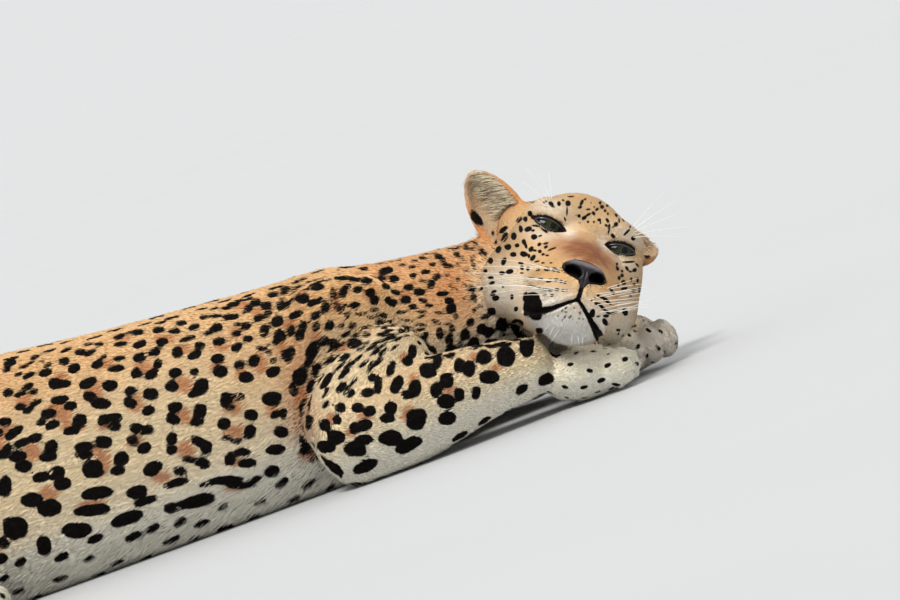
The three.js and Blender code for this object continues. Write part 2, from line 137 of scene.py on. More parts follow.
class Recipe:
    """A material, its nodes and its main shader."""

    def __init__(self, name, **plain):
        self.material = bpy.data.materials.new(name)
        self.material.use_nodes = True
        self.nodes = self.material.node_tree.nodes
        self.links = self.material.node_tree.links
        self.shader = next(n for n in self.nodes if n.type == "BSDF_PRINCIPLED")
        for key, value in plain.items():
            self.shader.inputs[key.replace("_", " ")].default_value = value

    def node(self, kind, settings=None, inputs=None, out=0):
        made = self.nodes.new(kind)
        for key, value in (settings or {}).items():
            setattr(made, key, value)
        for key, value in (inputs or {}).items():
            if isinstance(value, Value):
                self.links.new(value.socket, made.inputs[key])
            else:
                made.inputs[key].default_value = value
        return Value(self, made.outputs[out])

    def mix(self, share, first, second):
        settings = {"data_type": "RGBA"}
        return self.node("ShaderNodeMix", settings, {0: share, 6: first, 7: second}, out=2)

    def carried(self, name, out=2):
        """A number, or with out=0 a colour, that the mesh carries at each point."""
        return self.node("ShaderNodeAttribute", {"attribute_name": name}, out=out)

    def place(self):
        return self.node("ShaderNodeTexCoord", out=3)

    def noise(self, scale, detail=2.0):
        inputs = {"Vector": self.place(), "Scale": scale, "Detail": detail}
        return self.node("ShaderNodeTexNoise", {}, inputs)

    def feed(self, **sockets):
        for key, value in sockets.items():
            self.links.new(value.socket, self.shader.inputs[key.replace("_", " ")])

    def bump(self, height, distance, strength=1.0):
        inputs = {"Height": height, "Distance": distance, "Strength": strength}
        self.feed(Normal=self.node("ShaderNodeBump", {}, inputs))


def paint(red, green, blue):
    """A colour as a painter reads it, 0 to 255, turned into the light that Blender sums."""
    def light(v):
        v = v / 255
        return v / 12.92 if v <= 0.04045 else ((v + 0.055) / 1.055) ** 2.4
    return (light(red), light(green), light(blue), 1.0)


# %% [markdown]
# ## Floor and light
# A museum shows such a model on a pale floor under soft light.
# Lamps close by would leave the far floor dark in the other views,
# so three suns and a bright sky do the work.
# The suns' discs are made very wide, which gives the shadows soft edges.
# The sky is as bright as the lit floor, so that the floor runs out of sight without a line.

# %% Lay the floor and set the light
FLOOR_RADIUS = 60
FLOOR_HEIGHT = -0.0006
SKY_COLOUR = (0.981, 0.994, 1.0, 1)
SKY_STRENGTH = 0.79
bpy.ops.object.select_all(action="DESELECT")
bpy.ops.mesh.primitive_circle_add(
    vertices=96, radius=FLOOR_RADIUS, fill_type="NGON", location=(0, 0, FLOOR_HEIGHT),
)
floor = bpy.context.object
floor.name = "floor"
floor_finish = Recipe("pale_floor", Roughness=0.85)
cloud = floor_finish.noise(1.3, 4.0)
floor_finish.feed(Base_Color=floor_finish.mix(cloud, paint(186, 187.4, 189), paint(190, 191.4, 193)))
floor.data.materials.append(floor_finish.material)


def sun(name, strength, towards, spread, colour):
    lamp = bpy.data.lights.new(name, "SUN")
    lamp.energy = strength
    lamp.angle = math.radians(spread)
    lamp.color = colour
    holder = bpy.data.objects.new(name, lamp)
    bpy.context.scene.collection.objects.link(holder)
    holder.rotation_euler = Vector(towards).to_track_quat("-Z", "Y").to_euler()


sun("key_light", 2.3, (0.25, 0.6, -1.0), 20, (1.0, 0.98, 0.94))
sun("rim_light", 0.4, (-0.6, -0.6, -0.8), 40, (1.0, 1.0, 1.0))
sun("fill_light", 0.35, (-0.4, 0.93, -0.1), 60, (0.97, 1.0, 0.99))
sky = bpy.data.worlds.new("sky")
sky.use_nodes = True
sky.node_tree.nodes["Background"].inputs[0].default_value = SKY_COLOUR
sky.node_tree.nodes["Background"].inputs[1].default_value = SKY_STRENGTH
bpy.context.scene.world = sky
bpy.context.scene.view_settings.view_transform = "Standard"
print("lamps", len(bpy.data.lights))

# %% [markdown]
# ## One skin
# A live animal has no seams, while the solids are parted where a person names the parts.
# Copies of the fleshy solids are swollen a little so that they run into each other,
# and a voxel remesh wraps them in one closed surface.
# The remesh is fine enough for the ears. Away from the head and forepaws it is thinned again,
# because the fur hides it there.
# Thinning empties flat places first, so the points are shaken a little beforehand,
# and it then thins evenly.

# %% Gather the fleshy solids
NOT_FLESH = ("eye_right", "eye_left", "nose")
FLESH = sorted(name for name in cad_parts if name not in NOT_FLESH)
FINE_PARTS = ("head", "ear", "forepaw")
SWELL = 0.6 * MM
SEAT_SWELL = 1.2 * MM
VOXEL = 2.5 * MM
SHAKE = 0.25 * MM
KEPT_SHARE = 0.14


def only(piece):
    bpy.ops.object.select_all(action="DESELECT")
    piece.select_set(True)
    bpy.context.view_layer.objects.active = piece


def edit(piece, step, faces=None):
    """Does a step in edit mode, on all of a piece or on some of its faces."""
    only(piece)
    bpy.context.tool_settings.mesh_select_mode = (False, False, True)
    bpy.ops.object.mode_set(mode="EDIT")
    bpy.ops.mesh.select_all(action="SELECT")
    if faces is not None:
        bpy.ops.mesh.select_all(action="DESELECT")
        bpy.ops.object.mode_set(mode="OBJECT")
        piece.data.polygons.foreach_set("select", faces)
        bpy.ops.object.mode_set(mode="EDIT")
    step()
    bpy.ops.object.mode_set(mode="OBJECT")


def copy_of(name, swell):
    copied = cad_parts[name].copy()
    copied.data = copied.data.copy()
    copied.parent = None
    for key in list(copied.keys()):
        del copied[key]
    bpy.context.scene.collection.objects.link(copied)

    def close_and_swell():
        bpy.ops.mesh.remove_doubles(threshold=1e-5)
        bpy.ops.transform.shrink_fatten(value=swell)

    edit(copied, close_and_swell)
    return copied


def numbers(collection, key, width=3, kind=np.float32):
    found = np.empty(len(collection) * width, kind)
    collection.foreach_get(key, found)
    return found.reshape(-1, width)


copies = [copy_of(name, SWELL) for name in FLESH]
# The eyes and the nose fill their own seats, so the one surface has no pits under them.
copies += [copy_of(name, SEAT_SWELL) for name in NOT_FLESH]
solid_points = []
solid_faces = []
face_part = []
for number, copied in enumerate(copies):
    base = sum(len(places) for places in solid_points)
    solid_points.append(numbers(copied.data.vertices, "co"))
    for polygon in copied.data.polygons:
        solid_faces.append([base + corner for corner in polygon.vertices])
        face_part.append(number if number < len(FLESH) else FLESH.index("head"))
solid_tree = BVHTree.FromPolygons(np.concatenate(solid_points).tolist(), solid_faces)

only(copies[0])
for copied in copies:
    copied.select_set(True)
bpy.ops.object.join()
skin = bpy.context.object
skin.name = "skin"
skin.data.materials.clear()
print("fleshy solids", len(FLESH), "faces", len(solid_faces))

# %% Wrap them in one surface
only(skin)
wrap = skin.modifiers.new("wrap", "REMESH")
wrap.mode = "VOXEL"
wrap.voxel_size = VOXEL
bpy.ops.object.modifier_apply(modifier=wrap.name)


def nearest_parts(where):
    """The number in FLESH of the part that each place lies nearest to."""
    return np.array([face_part[solid_tree.find_nearest(place)[2]] for place in where.tolist()], np.int32)


def part_mask(part_numbers, *starts):
    """True for the parts whose names start with one of the words."""
    return np.isin(part_numbers, [i for i, name in enumerate(FLESH) if name.startswith(starts)])


centres = numbers(skin.data.polygons, "center")
coarse = ~part_mask(nearest_parts(centres), *FINE_PARTS)
shaken = numbers(skin.data.vertices, "co")
shaken += dice.normal(0, SHAKE, shaken.shape).astype(np.float32)
skin.data.vertices.foreach_set("co", shaken.ravel())
print("fine skin faces", len(coarse), "to thin", int(coarse.sum()))
edit(skin, lambda: bpy.ops.mesh.decimate(ratio=KEPT_SHARE), coarse)
print("skin faces", len(skin.data.polygons))

# %% [markdown]
# ## The head's own frame
# The head is turned, tipped and rolled on the neck,
# so its forms are easiest to describe in a frame of its own.
# In that frame x runs to the nose, y to the animal's left and z to the crown, in millimetres.
# The solid head is a blend of rounded masses, and the same masses are written here,
# to bring the skin onto their smooth blend.

# %% Describe the masses of the head
HEAD_AT = np.array([350, -70, 159.4])
HEAD_TURN = Matrix.Rotation(math.radians(-74.5), 3, "Z") @ Matrix.Rotation(math.radians(-11), 3, "Y")
HEAD_AXES = np.array(HEAD_TURN @ Matrix.Rotation(math.radians(-40), 3, "X"))
BLEND = 11

# Middle, radii and nose-down pitch of each mass. Those with a sideways place come in pairs.
HEAD_MASSES = {
    "cranium": ((-84, 0, 3), (68, 67, 62), 0),
    "forehead": ((-42, 0, 14), (39, 46, 44), 0),
    "bridge": ((27, 0, -35), (50, 21, 20), 37),
    "muzzle": ((40, 0, -74), (33, 34, 26), 10),
    "chin": ((46, 0, -108), (21, 21, 20), 0),
    "throat": ((-40, 0, -70), (66, 48, 32), 0),
    "brow": ((-14, 36, 18), (19, 23, 13), 6),
    "lid_mound": ((-15, 40, 0), (25, 26, 25), 0),
    "cheekbone": ((-22, 52, -26), (28, 22, 23), 0),
    "maxilla": ((8, 27, -48), (38, 24, 30), 0),
    "whisker_pad": ((49, 21, -78), (26, 23, 23), 0),
    "jaw_line": ((10, 24, -100), (40, 20, 18), 0),
    "cheek": ((-38, 49, -62), (42, 33, 38), 0),
    "ruff": ((-64, 55, -52), (34, 31, 42), 0),
    "ear_base": ((-92, 58, 14), (28, 25, 28), 0),
}


def in_head(where):
    """Places in metres, told in the head's frame in millimetres."""
    return (where * 1000 - HEAD_AT) @ HEAD_AXES


def from_head(where):
    return (where @ HEAD_AXES.T + HEAD_AT) * MM


def lengths(vectors):
    return np.linalg.norm(vectors, axis=1)


def unit(vectors):
    return vectors / np.maximum(lengths(vectors), 1e-9)[:, None]


def blended_distance(where, masses, softness):
    """How far each place is outside the blended masses, below zero inside."""
    total = np.full(len(where), 1e-200)
    for middle, radii, pitch in masses.values():
        turn = -math.radians(pitch)
        for side in ((1, -1) if middle[1] else (1,)):
            off = where - np.array([middle[0], middle[1] * side, middle[2]])
            ahead = off[:, 0] * math.cos(turn) + off[:, 2] * math.sin(turn)
            above = off[:, 2] * math.cos(turn) - off[:, 0] * math.sin(turn)
            scaled = np.stack([ahead, off[:, 1], above], 1) / np.array(radii)
            reach = lengths(scaled)
            slope = lengths(scaled / np.array(radii))
            total += np.exp(-reach * (reach - 1) / np.maximum(slope, 1e-9) / softness)
    return softness * (0.5 - np.log(total))


def head_slope(where, step=0.4):
    """How far places are outside the head's masses, and the way straight out of them."""
    here = blended_distance(where, HEAD_MASSES, BLEND)
    ahead = [blended_distance(where + step * axis, HEAD_MASSES, BLEND) for axis in np.eye(3)]
    return here, unit(np.stack([there - here for there in ahead], 1) / step)


print("masses", len(HEAD_MASSES), "nose points to", HEAD_AXES[:, 0].round(2))

# %% [markdown]
# ## Finer skin at the eyes, nose and mouth
# Lids and lips need a closer net of points than cheeks do.
# The faces near them are picked by their place and split once.
# Splitting the whole head would cost faces that the fur hides.

# %% Split the faces of the muzzle and eyes
MIRROR = np.array([1, -1, 1])
EYE_MIDDLE = np.array([-15, 40, 0])
EYE_RADIUS = 18.5


def beside(where, middle):
    """The distance to a place on the face or to its mirror image, whichever is nearer."""
    return np.minimum(lengths(where - middle), lengths(where - middle * MIRROR))


centres = in_head(numbers(skin.data.polygons, "center"))
near_eye = beside(centres, EYE_MIDDLE + [12, 0, 0]) < 26
MOUTH_BOX = ((8, -62, -122), (110, 62, -50))
near_mouth = ((centres > MOUTH_BOX[0]) & (centres < MOUTH_BOX[1])).all(1)
edit(skin, lambda: bpy.ops.mesh.subdivide(number_cuts=1), near_eye | near_mouth)
edit(skin, lambda: bpy.ops.mesh.quads_convert_to_tris())
print("split", int((near_eye | near_mouth).sum()), "skin triangles", len(skin.data.polygons))

# %% [markdown]
# ## Even out the skin
# The solids have flat facets, and the remesh keeps them.
# Moving each point towards the mean of its neighbours smooths them,
# but also shrinks thin forms such as the tail.
# A step forward and a slightly longer step back keeps the size and still takes the facets away.

# %% Smooth the body and keep its size
points = numbers(skin.data.vertices, "co").astype(float)
edges = numbers(skin.data.edges, "vertices", 2, np.int32)
edge_a, edge_b = edges.T
links_at = np.bincount(np.concatenate([edge_a, edge_b]), minlength=len(points))[:, None]
part = nearest_parts(points)


def neighbour_mean(values):
    summed = [
        np.bincount(edge_a, column[edge_b], len(column)) + np.bincount(edge_b, column[edge_a], len(column))
        for column in values.T
    ]
    return np.stack(summed, 1) / links_at


def spread(values, rounds):
    """Lets a mask or a direction run into its neighbours."""
    table = values.reshape(len(values), -1).astype(float)
    for _ in range(rounds):
        table = (table + neighbour_mean(table)) / 2
    return table.reshape(values.shape)


def evened(shape, rounds, where):
    for _ in range(rounds):
        for step in (0.6, -0.62):
            shape = shape + (neighbour_mean(shape) - shape) * where[:, None] * step
    return shape


def smooth_step(values, low, high):
    """Zero below low, one above high, and smooth between."""
    share = np.clip((values - low) / (high - low), 0, 1)
    return share * share * (3 - 2 * share)


def bell(values, width, middle=0.0):
    """One at the middle, falling smoothly to nothing at about twice the width."""
    return np.exp(-(((values - middle) / width) ** 2))


on_head = spread(part_mask(part, "head"), 8)
on_fine = spread(part_mask(part, *FINE_PARTS), 3)
points = evened(points, 34, 1 - on_fine)
points = evened(points, 9, np.where(on_fine > 0.5, 1.0, 0.4))
print("smoothed", len(points), "points")

# %% Bring the head onto its blended masses
face = in_head(points)
held = smooth_step(on_head, 0.55, 0.97)
chosen = np.flatnonzero(held > 0)
target = face[chosen]
for _ in range(4):
    outside, way = head_slope(target)
    target -= way * np.clip(outside, -6, 6)[:, None]
face[chosen] += (target - face[chosen]) * held[chosen, None]
print("head points moved", len(chosen))

# %% [markdown]
# ## Lids
# A cat's eye is a ball deep in the skull, and the lids are skin that wraps it.
# The skin round the eye is drawn down to just over the ball,
# and inside the opening it drops behind the ball.
# So the gap between the lids is where the ball shows through, as on the real animal.

# %% Draw the skin down round the eyes
EYE_SLANT = math.radians(7)
LID_HALF_LENGTH = 15.8
UPPER_LID_RISE = 4.1
LOWER_LID_DROP = 5.4
LID_RADIUS = 20.0
FRONT_HALF = 1.2


def eye_plane(where):
    """Places on the face told along and across the nearer eye, from the inner corner outwards."""
    ahead = where[:, 0] - EYE_MIDDLE[0]
    aside = np.abs(where[:, 1]) - EYE_MIDDLE[1]
    above = where[:, 2] - EYE_MIDDLE[2]
    off_axis = np.maximum(np.hypot(aside, above), 1e-6)
    turned_out = np.arctan2(off_axis, ahead)
    front_arc = np.sin(np.minimum(turned_out, FRONT_HALF)) + np.maximum(turned_out - FRONT_HALF, 0)
    out = aside / off_axis * front_arc * LID_RADIUS
    rise = above / off_axis * front_arc * LID_RADIUS
    along = out * math.cos(EYE_SLANT) + rise * math.sin(EYE_SLANT)
    across = rise * math.cos(EYE_SLANT) - out * math.sin(EYE_SLANT)
    return along, across


def lid_height(along, upper):
    room = np.clip(1 - (along / LID_HALF_LENGTH) ** 2, 0, 1)
    return np.where(upper, UPPER_LID_RISE * room ** 0.62, LOWER_LID_DROP * room ** 0.85)


def past_lid(where):
    """How far a place is outside the gap between the lids, below zero in the gap."""
    along, across = eye_plane(where)
    beyond = np.hypot(np.maximum(np.abs(along) - LID_HALF_LENGTH, 0), across)
    inside = np.abs(across) - lid_height(along, across > 0)
    return np.where(np.abs(along) > LID_HALF_LENGTH, beyond, inside)


ball_middle = np.where(face[:, 1:2] > 0, EYE_MIDDLE, EYE_MIDDLE * MIRROR)
from_ball = face - ball_middle
radius = lengths(from_ball)
gap = past_lid(face)
close = (radius < 48) & (held > 0.5)
near_ball = 1 - smooth_step(radius, 34, 46)
wanted = np.where(gap < 0, EYE_RADIUS - 6 * smooth_step(-gap, 0, 0.9), EYE_RADIUS + 1.5 + 0.25 * gap)
pull = 1 - smooth_step(gap, 1.5, 9.0)
new_radius = radius + (np.minimum(wanted, radius) - radius) * pull * near_ball
below_eye = smooth_step(-eye_plane(face)[1], -1, 4) * near_ball
new_radius += 1.2 * bell(gap, 1.7, 4.4) * (gap > 0) * near_ball
new_radius -= 1.1 * bell(gap, 1.7, 8.6) * below_eye
new_radius -= 0.8 * bell(gap, 1.3, 6.5) * (near_ball - below_eye)
drawn = ball_middle + from_ball * (new_radius / np.maximum(radius, 1e-6))[:, None]
face = np.where(close[:, None], drawn, face)
print("points round the eyes", int(close.sum()), "in the gaps", int((close & (gap < 0)).sum()))

# %% [markdown]
# ## Mouth, lips and folds
# A line of points is laid on the face and the skin is pressed in along it, deepest on the line.
# Beside the line it swells again, and that swelling is the lip.
# The same press makes the cleft under the nose and the wrinkles over its bridge.
# Behind the bare nose the skin is drawn back, to leave room for the nostrils.

# %% Press the lines of the face
MOUTH_LINE = [(79, 0, -89), (75, 9, -95), (66, 20, -102), (52, 32, -107), (30, 43, -107), (12, 49, -102)]
LIP_CLEFT = [(84, 0, -70), (82, 0, -80), (79, 0, -90)]
NOSE_MASSES = {
    "top": ((66, 0, -55), (13, 21.5, 10.5), 34),
    "wing": ((68, 12, -59), (12, 12, 10.5), 24),
    "stem": ((70, 0, -67), (12, 10, 15), 8),
}
NOSE_BLEND = 3.0
WRINKLES_AROUND = np.array([70, 0, -60])
WRINKLE_SPACING = 6.5
FAR = 99.0


def bring_to_face(places):
    places = np.array(places, float)
    for _ in range(6):
        outside, way = head_slope(places)
        places = places - way * outside[:, None]
    return places


def line_on_face(corners, side=1, steps=8):
    """A smooth line through the corners, laid on the face."""
    knots = np.array(corners, float) * [1, side, 1]
    knots = np.concatenate([2 * knots[:1] - knots[1:2], knots, 2 * knots[-1:] - knots[-2:-1]])
    line = []
    for a, b, c, d in zip(knots, knots[1:], knots[2:], knots[3:]):
        for t in np.linspace(0, 1, steps, endpoint=False):
            bent = (2 * a - 5 * b + 4 * c - d) * t * t + (3 * b - a - 3 * c + d) * t ** 3
            line.append(0.5 * (2 * b + (c - a) * t + bent))
    line.append(knots[-2])
    return bring_to_face(line)


def from_line(where, line):
    """The distance to a line of points, and how far above it a place is."""
    nearest = np.full(len(where), 1e9)
    above = np.zeros(len(where))
    for a, b in zip(line[:-1], line[1:]):
        share = np.clip(((where - a) @ (b - a)) / max((b - a) @ (b - a), 1e-9), 0, 1)
        off = where - (a + share[:, None] * (b - a))
        above = np.where(lengths(off) < nearest, off[:, 2], above)
        nearest = np.minimum(nearest, lengths(off))
    return nearest, above


front = np.flatnonzero((held > 0.6) & (face[:, 0] > -30) & (face[:, 2] < -10))
where = face[front]
outside, out_way = head_slope(where)
mouth_off = np.full(len(front), FAR)
mouth_above = np.zeros(len(front))
for side in (1, -1):
    off, above = from_line(where, line_on_face(MOUTH_LINE, side))
    mouth_above = np.where(off < mouth_off, above, mouth_above)
    mouth_off = np.minimum(mouth_off, off)
cleft_off, _ = from_line(where, line_on_face(LIP_CLEFT))
mouth_gap = np.full(len(face), FAR)
cleft_gap = np.full(len(face), FAR)
mouth_gap[front], cleft_gap[front] = mouth_off, cleft_off
to_corner = smooth_step(where[:, 0], 14, 44)
swell = 1.6 * bell(mouth_off, 3.2, 5.5) * smooth_step(mouth_above, -1, 3)
swell += 0.9 * bell(mouth_off, 2.2, 4.0) * smooth_step(-mouth_above, -1, 3)
swell = np.maximum(swell * to_corner, 1.2 * bell(cleft_off, 3.0, 5.0))
groove = np.maximum(4.0 * bell(mouth_off, 1.5) * to_corner, 2.4 * bell(cleft_off, 1.3))
press = swell - groove
to_nose = lengths(where - WRINKLES_AROUND)
on_bridge = bell(where[:, 1], 21) * smooth_step(where[:, 2], -58, -40)
on_bridge *= 1 - smooth_step(where[:, 2], -22, -12)
press += 0.75 * np.sin(to_nose / WRINKLE_SPACING * 2 * math.pi) * on_bridge
face[front] += out_way * press[:, None]
nose_gap = np.full(len(face), FAR)
nose_gap[front] = blended_distance(face[front], NOSE_MASSES, NOSE_BLEND)
face[:, 0] -= 9 * smooth_step(-nose_gap, -0.2, 3.5)
print("points pressed", len(front), "deepest", round(float(press.min()), 1), "mm")

# %% [markdown]
# ## Settle the skin under the coat
# The solids reach to the tips of the hair, so the skin has to lie inside them by the depth of the coat.
# That depth is less than a millimetre on the muzzle and about three on the body.

# %% Sink the skin by the depth of the coat
LEAST_HEIGHT = 1.0 * MM


def write_points(mesh, where):
    mesh.vertices.foreach_set("co", where.astype(np.float32).ravel())
    mesh.update()


def shade_smooth(mesh):
    mesh.polygons.foreach_set("use_smooth", np.ones(len(mesh.polygons), bool))


points = np.where(held[:, None] > 0, from_head(face), points)
write_points(skin.data, points)
normals = numbers(skin.data.vertices, "normal").astype(float)
on_ear = spread(part_mask(part, "ear"), 4)
on_paw = spread(part_mask(part, "forepaw", "hind_foot"), 4)
muzzle_part = on_head * smooth_step(in_head(points)[:, 0], -70, 20)
coat_depth = 3.2 - 2.5 * muzzle_part - 1.2 * on_head * (1 - muzzle_part) - 2.2 * on_ear - 1.6 * on_paw
coat_depth = np.clip(coat_depth, 0.6, 4)
in_gap = (held > 0.5) & (past_lid(in_head(points)) < 2.5) & (np.abs(in_head(points)[:, 0] - 2) < 22)
coat_depth = np.where(in_gap, 0.0, coat_depth)
points = points - normals * coat_depth[:, None] * MM
points[:, 2] = np.maximum(points[:, 2], LEAST_HEIGHT)
write_points(skin.data, points)
shade_smooth(skin.data)
normals = numbers(skin.data.vertices, "normal").astype(float)
print("skin box", points.min(0).round(3), points.max(0).round(3))

# %% [markdown]
# ## Where the markings lie
# The black marks of a leopard are pigment in the hair, so skin and coat have to agree on them.
# A mark is kept as an oval. On the near side it is told in the picture,
# and it falls on whatever skin the camera sees there.
# Elsewhere it is told on the skin itself, by a middle, a normal and two half axes.

# %% Cast rays onto the skin
SIGHT_SLACK = 0.006
# Skin that turns away would stretch the marks, so it counts as out of sight, but less so on the face.
LEAST_TURN_OF_HEAD = 0.06
LEAST_TURN_OF_BODY = 0.28
skin.data.calc_loop_triangles()
skin_triangles = numbers(skin.data.loop_triangles, "vertices", 3, np.int32)
skin_tree = BVHTree.FromPolygons(points.tolist(), skin_triangles.tolist())
wide_normals = unit(spread(normals, 4))


def tree_of(where):
    tree = KDTree(len(where))
    for i, place in enumerate(where.tolist()):
        tree.insert(place, i)
    tree.balance()
    return tree


def cast(x, y):
    """The place of the skin that shows at a place in the picture."""
    return np.array(skin_tree.ray_cast(eye_point, ray_to(x, y))[0])


def picture_of(where):
    """Where places stand in the picture, across and down."""
    way = where - np.array(eye_point)
    scale = METRES_PER_PIXEL * -(way @ np.array(backward)) / DISTANCE
    across = PIXELS_WIDE / 2 + way @ np.array(rightward) / scale
    return across, PIXELS_HIGH / 2 - way @ np.array(upward) / scale


def shows(index):
    """Whether nothing stands between the camera and a point of the skin."""
    way = Vector(points[index]) - eye_point
    hit = skin_tree.ray_cast(eye_point, way.normalized())[0]
    return hit is not None and (hit - eye_point).length > way.length - SIGHT_SLACK


turned_to_camera = normals @ np.array(backward)
in_sight = np.zeros(len(points))
least_turn = np.where(part_mask(part, "head"), LEAST_TURN_OF_HEAD, LEAST_TURN_OF_BODY)
for index in np.flatnonzero(turned_to_camera > least_turn).tolist():
    in_sight[index] = shows(index)
print("points in sight", int(in_sight.sum()))
print("skin triangles", len(skin_triangles))

# %% [markdown]
# ## Marks of the near side
# The marks are listed row by row, as place across, place down, length, width and turn in degrees.
# Marks could be scattered everywhere by a rule,
# but a leopard is known by its own pattern, so the near side follows it.

# %% List the marks of the flank
FLANK_MARKS = [
    (5, 422, 13, 8, 0), (14, 433, 20, 8, 35), (8, 393, 10, 9, 0), (20, 395, 12, 5, 15),
    (28, 387, 12, 6, 20), (34, 392, 8, 7, 0), (20, 407, 10, 7, 20), (28, 411, 10, 6, 20),
    (36, 403, 12, 6, 30), (10, 364, 13, 6, 10), (14, 357, 9, 5, 10), (26, 352, 8, 4, 10),
    (6, 371, 8, 6, 0), (18, 375, 9, 4, 20), (29, 376, 13, 5, 28), (22, 368, 8, 4, 20),
    (35, 358, 10, 4, 25), (30, 364, 12, 3, 28), (42, 362, 6, 3, 20), (41, 346, 8, 5, 20),
    (59, 344, 16, 4, 28), (52, 351, 14, 3, 25), (66, 351, 12, 4, 25), (76, 343, 9, 5, 15),
    (66, 337, 8, 4, 20), (46, 373, 14, 7, 15), (48, 366, 9, 5, 30), (64, 362, 10, 8, 10),
    (74, 369, 12, 9, 20), (80, 353, 10, 6, 0), (90, 354, 13, 5, 30), (88, 345, 10, 3, 5),
    (100, 345, 8, 5, 0), (83, 334, 12, 5, 22), (95, 333, 11, 6, 25), (93, 337, 8, 3, 25),
    (104, 336, 8, 3, 15), (113, 331, 10, 5, 15), (119, 338, 11, 5, 12), (109, 326, 9, 4, 10),
    (126, 333, 7, 4, 5), (138, 333, 11, 6, 5), (120, 345, 14, 5, 5), (140, 345, 13, 7, 25),
    (158, 331, 11, 7, 5), (174, 332, 12, 6, -5), (162, 342, 12, 7, -5), (131, 326, 12, 4, 10),
    (144, 323, 10, 3, 8), (181, 324, 11, 5, 0), (160, 323, 12, 4, 5), (120, 322, 9, 3, 10),
    (194, 328, 12, 6, 20), (207, 334, 9, 5, 0), (217, 328, 11, 9, -20), (236, 325, 7, 5, 20),
    (236, 334, 9, 6, -10), (219, 342, 12, 8, 0), (183, 341, 8, 4, 0), (191, 338, 10, 5, -10),
    (200, 346, 10, 7, -10), (194, 356, 13, 8, 15), (177, 353, 10, 12, 0), (154, 353, 12, 8, -5),
    (140, 358, 12, 10, 0), (158, 364, 8, 10, 0), (136, 374, 11, 12, 30), (151, 375, 12, 9, 25),
    (55, 384, 13, 12, 0), (65, 384, 11, 7, 0), (60, 400, 19, 8, 6), (71, 406, 13, 9, 0),
    (48, 414, 16, 9, 3), (41, 423, 11, 6, 0), (53, 425, 15, 8, 20), (80, 421, 13, 14, 0),
    (72, 431, 18, 8, 5), (88, 383, 18, 10, 25), (110, 386, 15, 11, -10), (90, 397, 15, 9, -30),
    (101, 404, 19, 10, 0), (95, 402, 12, 8, -40), (97, 365, 12, 8, 15), (103, 358, 9, 5, 40),
    (119, 359, 12, 5, 5), (116, 369, 18, 7, 3), (131, 391, 12, 9, 0), (130, 403, 16, 11, -40),
    (151, 394, 15, 12, -15), (148, 411, 13, 10, 0), (103, 421, 10, 12, 0), (115, 418, 15, 10, 0),
    (114, 427, 14, 8, -10), (136, 428, 13, 9, 0), (147, 430, 12, 9, 0), (132, 441, 15, 9, -38),
    (144, 448, 14, 11, 20), (175, 373, 13, 10, 0), (172, 387, 14, 11, -25), (194, 372, 9, 8, -20),
    (201, 387, 13, 15, 0), (194, 394, 12, 7, 10), (175, 407, 14, 11, 0), (173, 420, 16, 9, -20),
    (200, 411, 13, 15, 0), (197, 423, 14, 8, 0), (172, 439, 11, 14, 0), (172, 450, 11, 9, 0),
    (197, 441, 15, 9, -35), (206, 450, 12, 8, -35), (188, 459, 14, 6, -15), (201, 462, 12, 9, -10),
    (22, 443, 15, 8, 15), (35, 438, 14, 9, 10), (51, 447, 13, 13, 0), (48, 457, 18, 9, 0),
    (18, 457, 18, 11, 0), (24, 466, 18, 13, -10), (84, 447, 20, 10, 0), (84, 455, 19, 8, 0),
    (104, 442, 16, 12, -10), (121, 459, 15, 13, 0), (118, 471, 15, 10, 0), (93, 469, 20, 18, 0),
    (41, 477, 17, 10, 15), (57, 473, 15, 14, 0), (63, 484, 16, 12, 10), (32, 500, 22, 14, 5),
    (49, 508, 24, 17, 8), (5, 487, 13, 21, 0), (96, 493, 33, 12, 8), (92, 510, 37, 11, 5),
    (137, 492, 21, 13, 5), (145, 501, 25, 8, 18), (153, 468, 20, 13, 28), (180, 471, 15, 8, -10),
    (176, 483, 26, 8, 15), (196, 501, 38, 12, 15), (226, 480, 36, 8, 4), (238, 485, 28, 7, -3),
    (15, 528, 25, 22, 0), (44, 545, 14, 22, 10), (77, 530, 30, 15, 5), (127, 518, 32, 12, 22),
    (170, 508, 12, 10, 0), (8, 455, 6, 6, 0), (160, 347, 5, 4, 0),
]
